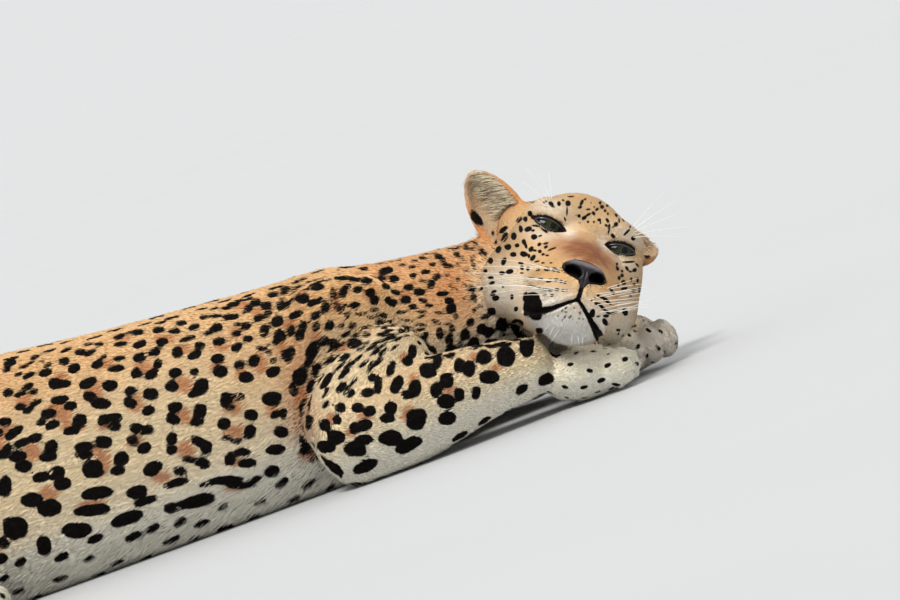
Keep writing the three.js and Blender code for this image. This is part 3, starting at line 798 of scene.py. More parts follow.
SIDE_MARKS = [
    (213, 302, 11, 5, 0), (230, 298, 12, 4, 10), (212, 309, 12, 4, 3), (204, 318, 9, 5, 0),
    (216, 317, 10, 4, 0), (233, 305, 12, 7, 10), (226, 309, 9, 4, 10), (231, 318, 15, 6, 5),
    (247, 298, 13, 6, 15), (256, 303, 9, 8, 0), (248, 310, 8, 8, 0), (266, 307, 10, 9, 0),
    (268, 315, 8, 8, 0), (258, 319, 8, 8, 0), (246, 327, 9, 8, 0), (248, 339, 9, 7, 0),
    (263, 291, 11, 4, 15), (272, 288, 9, 4, 5), (272, 296, 10, 6, 0), (285, 290, 10, 5, 0),
    (284, 295, 9, 4, 0), (294, 283, 9, 4, 5), (298, 290, 6, 7, 0), (306, 288, 5, 8, 0),
    (303, 279, 8, 5, 10), (302, 299, 13, 9, 0), (281, 306, 6, 11, 0), (289, 303, 13, 5, 75),
    (296, 315, 16, 7, 18), (315, 302, 16, 6, 28), (278, 322, 12, 11, 0), (264, 332, 9, 13, 0),
    (291, 330, 6, 12, 0), (303, 327, 7, 12, 0), (300, 336, 8, 10, 0), (280, 336, 12, 11, 0),
    (276, 343, 8, 7, 0), (315, 316, 8, 9, 0), (316, 327, 7, 11, 0), (329, 326, 9, 11, 0),
    (325, 308, 7, 14, 0), (324, 341, 8, 11, 0), (313, 349, 10, 15, 0), (333, 294, 16, 6, -80),
    (337, 308, 14, 5, -65), (343, 293, 7, 12, 0), (345, 306, 5, 5, 0), (346, 315, 5, 6, 0),
    (318, 288, 14, 6, 5), (336, 270, 11, 6, 10), (341, 278, 14, 6, 3), (328, 268, 10, 4, 10),
    (316, 268, 10, 5, 20), (316, 282, 10, 4, 5), (326, 280, 7, 5, 0), (355, 280, 9, 6, 0),
    (367, 281, 8, 8, 0), (357, 290, 9, 7, 0), (356, 267, 9, 5, 0), (364, 270, 7, 4, 0),
    (372, 265, 6, 4, 0), (388, 271, 9, 7, 0), (381, 273, 5, 6, 0), (381, 279, 8, 5, 0),
    (394, 280, 9, 8, -20), (385, 287, 9, 5, -10), (395, 293, 10, 5, -20), (370, 293, 9, 8, 30),
    (374, 300, 9, 9, 0), (355, 305, 11, 7, 0), (390, 302, 14, 8, -35), (406, 300, 9, 8, -20),
    (408, 288, 10, 7, 25), (413, 276, 7, 6, 0), (425, 273, 8, 4, 0), (419, 292, 10, 6, -15),
    (423, 301, 10, 5, -25), (431, 285, 6, 10, 15), (437, 277, 5, 8, 0), (374, 310, 10, 4, 0),
    (360, 314, 12, 4, -5), (370, 318, 12, 4, -20), (383, 316, 10, 5, -20), (400, 313, 13, 4, 0),
    (413, 308, 8, 4, 0), (378, 324, 8, 7, 0), (352, 326, 7, 7, 0), (341, 326, 5, 8, 0),
    (364, 329, 10, 5, -10), (345, 335, 9, 5, 10), (354, 337, 10, 5, 5), (367, 336, 8, 5, 5),
    (355, 345, 15, 7, 15), (332, 343, 7, 9, 30), (347, 286, 5, 4, 0), (310, 357, 12, 7, -60),
    (308, 365, 10, 6, -50), (286, 357, 17, 7, -60), (292, 352, 13, 7, -75), (317, 371, 10, 15, 10),
    (300, 377, 13, 17, 0), (293, 391, 14, 8, -60), (311, 389, 9, 15, 0), (305, 407, 11, 13, 0),
    (308, 420, 12, 7, 0), (308, 428, 9, 5, 10), (254, 361, 11, 12, 0), (262, 349, 13, 5, -10),
    (269, 353, 8, 6, -50), (273, 361, 7, 7, 0), (273, 372, 15, 11, 5), (218, 359, 13, 9, 0),
    (220, 372, 15, 12, -20), (239, 365, 9, 9, 0), (246, 378, 15, 10, -10), (236, 348, 11, 9, 0),
    (230, 341, 5, 3, 0), (225, 401, 10, 18, 0), (238, 397, 14, 8, 0), (231, 408, 8, 6, 0),
    (251, 415, 14, 10, -20), (271, 399, 19, 14, 0), (274, 415, 9, 9, 0), (283, 414, 8, 12, 0),
    (224, 424, 13, 12, 0), (250, 432, 12, 14, 0), (226, 438, 10, 6, 0), (236, 441, 12, 6, -10),
    (281, 432, 16, 11, -20), (275, 450, 19, 10, 5), (206, 446, 12, 10, -30), (242, 452, 18, 7, 0),
    (229, 459, 10, 14, 0), (247, 463, 18, 8, 0), (272, 471, 15, 12, 5), (312, 458, 9, 9, 0),
    (302, 439, 6, 8, 20), (312, 446, 6, 8, 0), (205, 465, 10, 9, 0), (203, 485, 8, 5, 0),
    (255, 479, 10, 7, 0), (205, 385, 6, 12, 0), (202, 411, 8, 12, 0),
]
ARM_MARKS = [
    (388, 322, 11, 3, 10), (405, 321, 18, 3, 0), (420, 325, 15, 3, -5), (388, 328, 15, 3, 10),
    (404, 330, 15, 3, 3), (383, 334, 13, 3, 12), (390, 339, 13, 3, 10), (377, 343, 13, 3, 15),
    (394, 348, 11, 3, 35), (383, 352, 11, 3, 40), (370, 349, 13, 3, 25), (407, 336, 13, 2, 8),
    (333, 349, 15, 4, 35), (343, 358, 15, 6, 20), (329, 363, 12, 5, 40), (340, 367, 13, 3, 40),
    (352, 364, 12, 3, 35), (364, 364, 11, 4, 40), (378, 362, 13, 5, 40), (345, 374, 15, 4, 42),
    (328, 380, 15, 6, 60), (342, 388, 14, 6, 50), (354, 381, 10, 4, 60), (351, 394, 9, 7, 30),
    (326, 393, 13, 3, 60), (369, 371, 8, 3, 45), (372, 378, 8, 7, 20), (379, 385, 7, 18, 0),
    (368, 393, 13, 9, 10), (326, 405, 9, 5, 50), (340, 408, 11, 9, 0), (337, 420, 9, 10, 0),
    (325, 425, 10, 12, 0), (358, 408, 12, 9, 10), (370, 411, 12, 11, 20), (355, 428, 10, 12, 0),
    (365, 425, 14, 11, 0), (397, 385, 19, 10, 62), (415, 388, 12, 17, 0), (408, 395, 13, 10, 0),
    (391, 369, 17, 8, 75), (412, 353, 8, 16, 0), (407, 362, 12, 9, 0), (431, 353, 9, 13, 0),
    (428, 371, 15, 15, 0), (438, 361, 8, 14, 0), (391, 408, 12, 12, 0), (387, 418, 14, 9, 0),
    (417, 419, 20, 22, 0), (336, 438, 17, 13, 0), (327, 447, 18, 12, 0), (364, 440, 17, 10, 15),
    (356, 449, 22, 14, 5), (391, 438, 24, 15, 0), (408, 445, 27, 12, 30), (333, 470, 24, 15, -40),
    (322, 462, 9, 12, 0), (366, 466, 26, 10, 25), (418, 331, 14, 3, 8), (424, 337, 12, 5, 60),
    (421, 342, 9, 7, 0), (439, 334, 6, 13, 0), (452, 328, 9, 6, -45), (470, 322, 7, 8, 0),
    (449, 340, 7, 14, 0), (450, 352, 10, 14, 0), (460, 347, 12, 5, -75), (465, 335, 12, 8, -60),
    (473, 344, 11, 13, 0), (481, 329, 9, 10, 0), (488, 332, 11, 10, 0), (501, 324, 12, 13, 0),
    (517, 326, 12, 13, 0), (520, 333, 12, 8, 0), (503, 335, 9, 4, 0), (491, 344, 13, 10, 0),
    (503, 344, 18, 6, 0), (484, 358, 14, 14, 0), (506, 357, 17, 20, 0), (527, 347, 13, 22, -5),
    (459, 366, 9, 15, 0), (469, 369, 12, 18, 0), (489, 377, 20, 12, 0), (447, 381, 12, 15, 0),
    (436, 390, 11, 15, 0), (446, 401, 17, 14, 0), (459, 395, 10, 14, 0), (476, 392, 9, 14, 0),
    (447, 418, 17, 12, 10), (436, 322, 12, 4, -30), (456, 318, 6, 4, 0), (448, 324, 8, 3, 0),
    (415, 392, 8, 10, 0), (418, 441, 8, 7, 30), (540, 330, 8, 5, 0), (389, 331, 9, 2.6, 10),
    (403, 332, 9, 2.8, 5), (388, 336, 18, 2.4, 8), (397, 340, 8, 2.4, 25), (384, 341, 9, 2.8, 20),
    (361, 349, 11, 3.2, 25), (374, 353.5, 12, 3.2, 25), (340, 348.5, 12, 3.6, 38), (333, 344, 9, 4, 55),
    (348, 366, 12, 3.2, 45), (358, 359, 12, 3.4, 40), (370, 365, 8, 3.2, 60), (341, 376, 9, 3.6, 60),
    (339, 387, 12, 3.2, 55), (347, 390, 15, 4, 55), (323, 386, 8, 4.5, 60), (381, 347, 15, 2.6, 20),
    (366, 343, 9, 2.8, 8),
]
NECK_MARKS = [
    (433, 253, 8, 4, 20), (447, 246, 6, 4, 40), (455, 249, 8, 4, 40), (464, 247, 4, 7, 0),
    (470, 250, 5, 4, 0), (438, 257, 7, 5, 35), (456, 255, 5, 7, 0), (423, 259, 10, 3, -5),
    (443, 262, 5, 9, 0), (432, 265, 7, 5, 0), (448, 267, 7, 5, 0), (462, 260, 3, 8, 0),
    (472, 260, 10, 4, 85), (474, 267, 9, 4, 100), (457, 266, 3, 6, 0), (475, 244, 3, 8, 0),
    (481, 252, 4, 9, 0), (426, 272, 9, 4, 0), (436, 278, 5, 8, 15), (447, 276, 5, 4, 0),
    (465, 271, 4, 5, 0), (457, 280, 4, 6, 0), (431, 285, 6, 9, 10), (450, 286, 6, 4, -30),
    (455, 290, 6, 4, -40), (464, 285, 3, 6, 0), (472, 290, 6, 8, 0), (474, 298, 6, 9, 0),
    (463, 299, 9, 3, -60), (442, 294, 12, 5, 8), (419, 293, 10, 6, -10), (429, 306, 9, 4, 0),
    (449, 301, 9, 7, 0), (451, 309, 10, 11, 0), (455, 316, 5, 6, 0), (438, 313, 9, 4, -25),
    (421, 312, 11, 3, -3), (412, 306, 8, 4, 0), (421, 317, 9, 3, 3), (484, 317, 8, 6, 0),
    (474, 311, 4, 5, 0), (481, 306, 4, 5, 0), (414, 262, 6, 3, 0), (402, 266, 7, 3, 5),
    (412, 268, 8, 4, 10), (421, 281, 5, 4, 0), (401, 258, 8, 3, 0), (388, 262, 9, 3, 0),
    (437, 245, 6, 3, 20),
]
print("flank", len(FLANK_MARKS) + len(SIDE_MARKS), "arm", len(ARM_MARKS), "neck", len(NECK_MARKS))

# %% List the marks of the face
FACE_MARKS = [
    (485, 255, 4, 9, 8), (480, 252, 4, 9, -10), (493, 234, 4, 6, 0), (495, 246, 14, 4, 66),
    (499, 250, 8, 5, 65), (504, 229.5, 12, 4.5, 38), (505, 237.5, 11, 5.5, 60), (514, 236.5, 6, 8, 0),
    (508.5, 247, 7.5, 6.5, 20), (517, 245.5, 5, 4.5, 30), (513.5, 254.5, 6.5, 5.5, 0),
    (523.5, 254, 7, 5.5, -10), (504, 261.5, 8, 4.5, 70), (491, 261, 5, 6.5, 0), (486, 271, 4, 4.5, 0),
    (510, 271.5, 8, 5, 12), (502, 273, 6, 4.5, 0), (491, 278, 6, 3.5, 0), (492, 283, 6, 3.5, 15),
    (482, 289, 3.5, 5, -30), (494, 291.5, 6, 3.5, 20), (493, 294.5, 6, 3, 10), (496, 298, 7, 5.5, 0),
    (512, 297, 3.5, 5.5, 0), (516, 309, 4.5, 5.5, 0), (492, 311, 9, 8, 0), (503, 287, 2.5, 2.5, 0),
    (519.5, 220, 8, 4.5, 45), (525.5, 219.5, 4.5, 6.5, 0), (521, 229, 4.5, 8, 0), (528, 229, 8, 5.5, 28),
    (533, 230.5, 4, 2.5, 10), (534, 237, 6, 5.5, 10), (540, 236, 5, 2, 20), (524, 242, 4.5, 6.5, 20),
    (526, 246, 3.5, 6, 10), (531, 249, 6, 4.5, 55), (535, 250.5, 4, 2.5, 0), (540, 251.5, 4, 4, 0),
    (539.5, 244.5, 4.5, 3.5, 30), (546, 243.5, 6, 3, 12), (546, 247, 5, 3.5, 35), (552, 249, 9, 2.2, 20),
    (543, 254.5, 4, 2.6, 30), (547, 255.5, 4, 2, 0), (533, 258, 7, 4, 50), (529, 256, 2.5, 4, 0),
    (537, 261.5, 6, 2, 10), (543, 263, 4, 2, 0), (551, 263, 3, 1.6, 0), (522, 268, 4, 5, 0),
    (522, 273, 4, 2, 0), (528, 268.5, 3.5, 5, 0), (521, 263, 5, 2.5, 0), (536, 226, 10, 2.2, -6),
    (544, 230.5, 11, 2.4, -36), (535, 217.5, 9, 4.5, 4), (530, 213.5, 5, 6, 0), (532, 201, 6, 5, 0),
    (551, 203.5, 6.1, 3.8, -20), (553, 206.5, 5.1, 2.3, -10), (559, 204, 4.6, 5.8, 0),
    (545, 202, 6, 2.4, 30), (563, 200.5, 2.6, 2.3, 0), (568, 203.5, 5.6, 5.8, 0),
    (567, 211.5, 10.1, 1.9, 88), (565, 219, 2.1, 5.3, 20), (571, 197, 7.1, 1.8, 0),
    (581.5, 203, 7.1, 3.3, 60), (580, 207.5, 5.1, 2.8, 20), (588, 209.5, 6.1, 2.5, 5),
    (579, 216, 3.6, 3.8, 0), (584, 218, 5.6, 3.8, 35), (588.5, 214.5, 6.1, 2.9, 25),
    (593.5, 213.5, 5.1, 3.3, -50), (576, 215, 1.8, 1.8, 0), (579.5, 223, 3.1, 1.8, 0),
    (588, 222, 2.6, 2.8, 0), (594, 222, 2.6, 2.8, 0), (599, 220, 4.1, 2.9, 0), (600.5, 223, 2.1, 2.3, 0),
    (600, 203, 3.6, 2.9, 40), (602, 207, 4.1, 3.8, 0), (597, 209.5, 4.1, 2.7, 30),
    (605, 211, 2.7, 2.7, 0), (608, 214, 2.1, 3.3, 0), (607, 206, 3.1, 2.3, 0), (594, 207, 2.1, 2.3, 0),
    (591, 203, 2.1, 1.8, 0), (585, 199.5, 4.1, 1.9, 20), (607.5, 220.5, 5.1, 2.9, -55),
    (606, 225.5, 3.1, 2.7, 0), (609, 229, 12.1, 2.3, 82), (613, 236, 6.1, 3.9, -50),
    (616, 215.5, 4.1, 2.7, -55), (619, 220.5, 1.8, 5.3, 10), (616, 224.5, 4.6, 4.8, 0),
    (613, 227, 2.1, 2.3, 0), (626.5, 232.5, 10.1, 2.5, 45), (623, 220, 5.1, 1.8, -60),
    (630, 227, 2.1, 2.7, 0), (633, 238.5, 4.6, 4.8, 0), (629, 262, 13, 2.6, 2), (637, 265, 6, 2, -50),
    (617.5, 268.5, 3.2, 5, 20), (622, 271, 3, 3, 0), (627, 268.5, 6, 3.2, -60), (630.5, 271.5, 4, 2.6, 0),
    (634.5, 270, 5, 4.5, 40), (622, 275.5, 3.6, 4, 0), (619, 278, 3.2, 4.2, 0), (623.5, 282.5, 5, 5, 20),
    (624, 288.5, 7, 3, 10), (631, 279.5, 2.6, 4.6, 0), (634, 284.5, 3, 3, 0), (633.5, 291, 4.4, 3.6, 0),
    (637.5, 280, 2.4, 6, 0), (639, 289.5, 2.4, 6, 0), (630, 295.5, 4, 2.2, -20), (618, 285, 2.4, 3.4, 0),
    (617, 264, 2.6, 3.4, 0), (612, 291.5, 9, 3.2, -62), (600, 296.5, 8, 3.2, -25),
    (606.5, 300.5, 9, 4, -45), (610, 303.5, 4, 2.6, -30), (596, 303.5, 4, 3.2, 0),
    (602, 307, 12, 3.2, -45), (607.5, 312, 5, 2.6, -40), (591.5, 300, 2.6, 2.6, 0),
    (595, 298, 2.4, 2.4, 0), (592.5, 313, 5.5, 9, 0), (598, 316.5, 5, 2.6, 0), (612, 313, 10, 2, 12),
]
WHISKER_ROWS = [
    (538, 270, 4, 2.6, 0), (547, 269, 6, 4, 0), (554.5, 269.5, 4.6, 4.4, 0), (558.5, 271.5, 4, 3, -20),
    (529, 278, 12, 2, -4), (540.5, 279.5, 6, 3.4, -4), (549.5, 280.5, 6.6, 3.8, 16),
    (556, 280, 5.4, 4.2, 0), (561, 281.5, 4.6, 3.4, -12), (565, 282.5, 3.6, 3, 0),
    (532, 286.5, 11, 2.2, -6), (538.5, 288.2, 7, 3, -6), (544.5, 289, 5.6, 3, 0),
    (550.5, 290, 5.6, 3.6, 0), (557, 289.6, 5, 3.6, 0), (563, 290.5, 4, 3, 0), (567, 290.5, 2.6, 2.4, 0),
    (552, 295.5, 3.6, 3.6, 0), (545, 295, 5, 2.4, 0), (526, 281, 6, 1.6, 0), (558, 316, 2.4, 2.4, 0),
    (562, 311, 2.4, 2.4, 0), (565, 317, 3.4, 2.8, 0), (569, 318, 2.4, 2.4, 0), (566, 312, 3.6, 2, 0),
    (580, 313, 2.4, 3, 0), (579, 319, 2.6, 2.2, 0), (562, 321, 2.4, 2, 0), (571, 316, 2.4, 2.6, 0),
    (574, 308, 2.4, 2, 0), (583.5, 319, 2.4, 2, 0), (566, 308, 4, 2, 20),
]
LIP_PATCH = [(531, 298, 17, 12, 0), (533, 306, 19, 17, 0), (536, 314, 12, 13, 0)]
PAW_MARKS = [
    (625, 312, 6, 8, 20), (606, 316, 6, 3, 0), (605, 322, 8, 5, -50), (614, 313, 9, 2, 10),
    (644, 312, 7, 3, -60), (634, 326, 6, 3, 20), (618, 330, 5, 3, 0), (650, 322, 6, 3, -50),
]
print("face", len(FACE_MARKS) + len(WHISKER_ROWS), "paw", len(PAW_MARKS))

# %% List the tawny hearts of the rosettes
ROSETTE_HEARTS = [
    (10, 428, 14, 12, 20), (28, 399, 16, 9, 20), (64, 376, 14, 9, 10), (62, 410, 22, 14, 0),
    (70, 420, 12, 16, 0), (98, 390, 16, 18, 0), (108, 363, 18, 8, 0), (128, 336, 18, 8, 10),
    (148, 366, 16, 12, 0), (168, 337, 18, 8, 0), (188, 348, 12, 10, 0), (186, 382, 16, 16, 0),
    (186, 414, 14, 16, 0), (190, 447, 18, 14, -10), (140, 402, 12, 18, 0), (138, 438, 14, 10, 0),
    (108, 424, 10, 8, 0), (36, 450, 18, 16, 0), (106, 460, 14, 22, 0), (98, 448, 12, 10, 0),
    (52, 492, 18, 14, 0), (166, 474, 16, 12, 0), (94, 502, 24, 8, 5), (222, 366, 12, 10, 0),
    (244, 370, 8, 10, 0), (262, 360, 16, 14, 0), (266, 366, 12, 10, 0), (238, 406, 16, 12, 0),
    (276, 408, 10, 12, 0), (238, 430, 18, 12, 0), (240, 459, 18, 8, 0), (245, 304, 14, 9, 0),
    (263, 311, 10, 10, 0), (240, 332, 10, 12, 0), (226, 346, 14, 8, 0), (238, 484, 18, 6, 0),
    (292, 322, 14, 10, 0), (286, 346, 12, 12, 0), (306, 396, 12, 20, 0), (340, 300, 8, 16, 0),
    (306, 293, 14, 8, 0), (320, 334, 10, 14, 0), (386, 279, 12, 12, 0), (374, 292, 10, 10, 0),
    (364, 276, 10, 8, 0), (408, 294, 12, 8, 0), (332, 415, 10, 12, 0), (362, 417, 12, 8, 0),
    (404, 414, 10, 14, 0), (410, 380, 9, 12, 0), (404, 356, 9, 9, 0), (434, 362, 8, 10, 0),
    (446, 391, 12, 7, 0), (470, 358, 9, 9, 0), (478, 338, 8, 8, 0), (347, 433, 7, 9, 0),
    (493, 368, 10, 7, 0), (348, 345, 20, 8, 15), (508, 340, 12, 5, 0), (84, 424, 8, 10, 0),
]
print("hearts", len(ROSETTE_HEARTS))

# %% [markdown]
# ## Lie of the coat
# Hair grows backwards from the nose, down the limbs and along the tail.
# Each part of the body is given one plain direction,
# and the directions are then spread into each other over the skin.
# What is left is laid flat on the skin, so that hair never grows straight into it.

# %% Comb the skin
TAIL_PATH = np.array([
    (-578, 0, 150), (-662, 4, 118), (-738, 6, 66), (-822, -6, 30), (-910, -48, 23),
    (-962, -124, 23), (-958, -216, 23), (-898, -290, 22), (-816, -330, 21),
]) * MM
LIE_OF_PART = {
    "torso": (-1, 0, -0.22), "neck": (-0.86, 0.25, -0.1),
    "upper_arm_right": (-0.75, -0.3, -0.5), "upper_arm_left": (-0.5, 0.5, -0.6),
    "forearm_right": (0.97, 0.1, -0.12), "forearm_left": (0.95, -0.3, 0),
    "forepaw_right": (1, 0.1, -0.1), "forepaw_left": (0.3, -0.95, -0.1),
    "thigh_right": (0.55, -0.3, -0.75), "thigh_left": (0.55, 0.3, -0.75),
    "shank_right": (-0.95, -0.1, -0.3), "shank_left": (-0.95, 0.1, -0.3),
    "hind_foot_right": (1, -0.1, -0.1), "hind_foot_left": (1, 0.1, -0.1),
}
LIE_OF_EAR = {"ear_right": (-11, -47, 42), "ear_left": (-45, 46, 17)}
HAIR_PARTS_AT = np.array([72, 0, -55])
lie = np.zeros_like(points)
for name, direction in LIE_OF_PART.items():
    lie[part_mask(part, name)] = direction
in_tail = np.flatnonzero(part_mask(part, "tail"))
tail_steps = TAIL_PATH[1:] - TAIL_PATH[:-1]
step_middles = (TAIL_PATH[1:] + TAIL_PATH[:-1]) / 2
to_steps = np.linalg.norm(points[in_tail][:, None] - step_middles[None], axis=2)
lie[in_tail] = tail_steps[to_steps.argmin(1)]
face = in_head(points)
from_nose = face - HAIR_PARTS_AT
from_nose[:, 2] *= np.where(from_nose[:, 2] < 0, 0.75, 1.0)
head_part = part_mask(part, "head")
lie[head_part] = (from_nose @ HEAD_AXES.T)[head_part]
for name, direction in LIE_OF_EAR.items():
    lie[part_mask(part, name)] = HEAD_AXES @ np.array(direction)
lie = spread(unit(lie), 14)
lie = unit(lie - normals * (lie * normals).sum(1, keepdims=True))
print("combed", len(lie), "points")

# %% [markdown]
# ## Marks of the sides out of sight
# The far side, the back of the hips, the hind legs and the tail aren't in the picture.
# Their marks follow the species: rosettes on the flanks and haunches,
# solid spots on limbs and neck, broad blots on the tail.
# They are scattered with a least spacing, so that they stand evenly but not in rows.

# %% Scatter the rest
# Spacing, length and width in millimetres.
# The parts named in ROSETTE_PARTS bear rings of blots, and the others single spots.
PATTERN_OF_PART = {
    "torso": (44, 17, 11), "thigh": (42, 16, 11), "upper_arm_right": (24, 14, 10),
    "upper_arm_left": (26, 16, 11), "forearm": (25, 17, 13), "shank": (24, 14, 10),
    "neck": (17, 9, 6), "head": (12, 5.5, 4), "hind_foot": (16, 9, 6),
    "forepaw_right": (15, 8, 5), "forepaw_left": (15, 8, 4),
    "tail_root": (30, 19, 13), "tail_middle": (30, 22, 15), "tail_tip": (32, 30, 20),
}
ROSETTE_PARTS = ("torso", "thigh")
# Between these heights the trunk bears rosettes, and above and below them solid spots.
ROSETTES_FROM = 0.045
ROSETTES_TO = 0.19
SPOT_SPACING = 23
HEART_LONG = 22
HEART_WIDE = 19
read_blots = FACE_MARKS + WHISKER_ROWS + LIP_PATCH + PAW_MARKS
for marks in (FLANK_MARKS, SIDE_MARKS, ARM_MARKS, NECK_MARKS):
    # The blots were read at their cores, and their soft edges reach a little further.
    for x, y, long, wide, turn in marks:
        edge = min(0.15 * wide, 1.2)
        read_blots.append((x, y, long + edge, wide + edge, turn))
blots = []
hearts = []
# The lower edge of what could be read from the picture, across and down.
READ_EDGE = np.array([
    (0, 552), (60, 548), (130, 528), (200, 512), (260, 488), (300, 474), (335, 486), (380, 480),
    (420, 460), (470, 426), (520, 388), (550, 352), (600, 338), (660, 322), (900, 322),
])
across, down = picture_of(points)
could_be_read = (in_sight > 0) & (across > -4) & (down < np.interp(across, *READ_EDGE.T))


def row_of(table, name):
    """The row of the key that starts the name."""
    return next((row for key, row in table.items() if name.startswith(key)), None)


def blot_on(index, offset, long, wide, turn):
    """An oval on the skin: its middle, its normal and its half length and half width as ways."""
    normal = wide_normals[index]
    along = lie[index] - normal * (lie[index] @ normal)
    along /= max(np.linalg.norm(along), 1e-9)
    aside = np.cross(normal, along)
    cosine, sine = math.cos(turn), math.sin(turn)
    middle = points[index] + (along * offset[0] + aside * offset[1]) * MM
    half_length = (along * cosine + aside * sine) * long / 2 * MM
    return middle, normal, half_length, (aside * cosine - along * sine) * wide / 2 * MM


taken = spread(could_be_read & ~part_mask(part, "forepaw_right"), 2) > 0.3
muzzle_zone = head_part & (face[:, 0] > 5) & (face[:, 2] < -15)
taken |= muzzle_zone | (points[:, 2] < 4 * MM)
point_tree = tree_of(points)
for index in dice.permutation(len(points)).tolist():
    name = FLESH[part[index]]
    row = row_of(PATTERN_OF_PART, name)
    if taken[index] or row is None:
        continue
    spacing, long, wide = row
    in_rings = name.startswith(ROSETTE_PARTS)
    if name == "torso" and not ROSETTES_FROM <= points[index, 2] <= ROSETTES_TO:
        spacing, in_rings = SPOT_SPACING, False
    nearby = [i for _, i, _ in point_tree.find_range(points[index], spacing * MM)]
    taken[nearby] = True
    size = dice.uniform(0.8, 1.2)
    if not in_rings:
        blots.append(blot_on(index, (0, 0), long * size, wide * size, dice.normal(0, 0.3)))
        continue
    count = int(dice.integers(3, 6))
    start = dice.uniform(0, 6.3)
    radius_out = dice.uniform(11, 14.5)
    for k in range(count):
        angle = start + 2 * math.pi * (k + dice.uniform(-0.18, 0.18)) / count
        offset = (radius_out * math.cos(angle), radius_out * math.sin(angle))
        blot_long, blot_wide = long * dice.uniform(0.75, 1.1), wide * dice.uniform(0.8, 1.1)
        blots.append(blot_on(index, offset, blot_long, blot_wide, angle + 1.57))
    hearts.append(blot_on(index, (0, 0), HEART_LONG, HEART_WIDE, 0))
print("blots read", len(read_blots), "scattered", len(blots), "hearts", len(hearts))

# %% [markdown]
# ## Blots with rough edges
# A blot is never a clean oval, because its edge is made of hairs.
# A slow wave of made-up noise bends each edge,
# and the result is a height: above zero inside the blot, below zero outside.
# A height can be read between points, so an edge stays sharp even where the points are far apart.

# %% Stamp the blots
WAVES = dice.normal(0, 1, (9, 3))
WAVE_START = dice.uniform(0, 6.3, 9)
# An oval with this power is a little fuller at its corners than an ellipse.
SQUARISH = 2.3
STEEPEST = 6.0
NO_INK = -4.0
SEEN = 0.35


def ripple(where, size):
    """Smooth noise between about -1 and 1, with bumps of that size in metres."""
    return np.sin(where @ WAVES.T / size * 2.2 + WAVE_START).mean(1) * 2.1


def oval_depth(x, y, scale, wobble):
    """How deep places lie inside an oval of half size one, in millimetres."""
    out = (np.abs(x) ** SQUARISH + np.abs(y) ** SQUARISH) ** (1 / SQUARISH)
    return (1 - out - wobble) * min(scale, STEEPEST)


def rough(where, edge):
    return ripple(where, 0.011) * edge + ripple(where, 0.004) * edge * 0.6


def stamp(where, facing, ovals, edge):
    """How deep each place lies inside the nearest oval on the skin, in millimetres."""
    tree = tree_of(where)
    depth = np.full(len(where), NO_INK)
    wobble = rough(where, edge)
    for middle, normal, first, second in ovals:
        a, b = np.linalg.norm(first), np.linalg.norm(second)
        found = [i for _, i, _ in tree.find_range(middle, max(a, b) * 1.5 + 0.003)]
        if not found:
            continue
        off = where[found] - middle
        inside = oval_depth(off @ first / a ** 2, off @ second / b ** 2, min(a, b) * 1000, wobble[found])
        turned_off = (facing[found] @ normal < 0.15) | (np.abs(off @ normal) > 0.02)
        inside[turned_off] = NO_INK
        depth[found] = np.maximum(depth[found], inside)
    return depth


def stamp_picture(where, sight, ovals, edge):
    """The same for ovals told in the picture, on the places that the camera sees."""
    x, y = picture_of(where)
    tree = tree_of(np.stack([x, y, 0 * x], 1))
    depth = np.full(len(where), NO_INK)
    wobble = rough(where, edge)
    for across, down, long, wide, angle in ovals:
        found = [i for _, i, _ in tree.find_range((across, down, 0), max(long, wide) * 0.75 + 3)]
        if not found:
            continue
        cosine, sine = math.cos(math.radians(angle)), math.sin(math.radians(angle))
        aside, above = x[found] - across, down - y[found]
        along = (aside * cosine + above * sine) * 2 / long
        over = (above * cosine - aside * sine) * 2 / wide
        half_width = min(long, wide) * (METRES_PER_PIXEL * 1000 / 2)
        depth[found] = np.maximum(depth[found], oval_depth(along, over, half_width, wobble[found]))
    return np.where(sight > SEEN, depth, NO_INK)


def stamp_both(where, facing, sight, ovals, read, edge):
    return np.maximum(stamp(where, facing, ovals, edge), stamp_picture(where, sight, read, edge))


EDGE = 0.11
HEART_EDGE = 0.2
skin_ink = stamp_both(points, normals, in_sight, blots, read_blots, EDGE)
skin_heart = stamp_both(points, normals, in_sight, hearts, ROSETTE_HEARTS, HEART_EDGE)
print("inked points", int((skin_ink > 0).sum()), "of", len(points))

# %% [markdown]
# ## Ground colours
# Under the marks a leopard is tawny along the back and neck, cream on the flanks and white below.
# The face has zones of its own: a rusty bridge of the nose, pale lids and cheeks, a white chin.
# Each zone is a soft mask, laid over the last as a painter lays washes. A few masks are painted light
# instead: shade in the fold between body and arm, on the brow and upper cheeks and in the ears, and a green
# reflection on the belly.

# %% Mix the ground colours
CREAM = paint(241, 224, 186)
TAWNY = paint(227, 173, 106)
ORANGE = paint(212, 140, 74)
WHITE = paint(247, 246, 236)
RUST = paint(138, 74, 36)
GREY_BROWN = paint(190, 156, 120)


def laid_over(ground, *washes):
    """Lays colours over the ground one after another, each with its share at each point."""
    for colour, share in washes:
        share = np.clip(share, 0, 1)[:, None]
        ground = ground * (1 - share) + np.array(colour[:3]) * share
    return ground


def plain(colour, count):
    return np.tile(np.array(colour[:3]), (count, 1))


def folded(where, side=1):
    """Places with the body folded onto its left side, or with -1 onto its right."""
    return where * [1, 0, 1] + np.abs(where) * [0, side, 0]


def glow(where, middle, radii):
    """A soft mask round a place, and round its mirror image, in the head's frame."""
    return np.exp(-0.5 * (((folded(where) - np.array(middle)) / np.array(radii)) ** 2).sum(1))


def mask(*names, rounds=10):
    return spread(part_mask(part, *names), rounds)


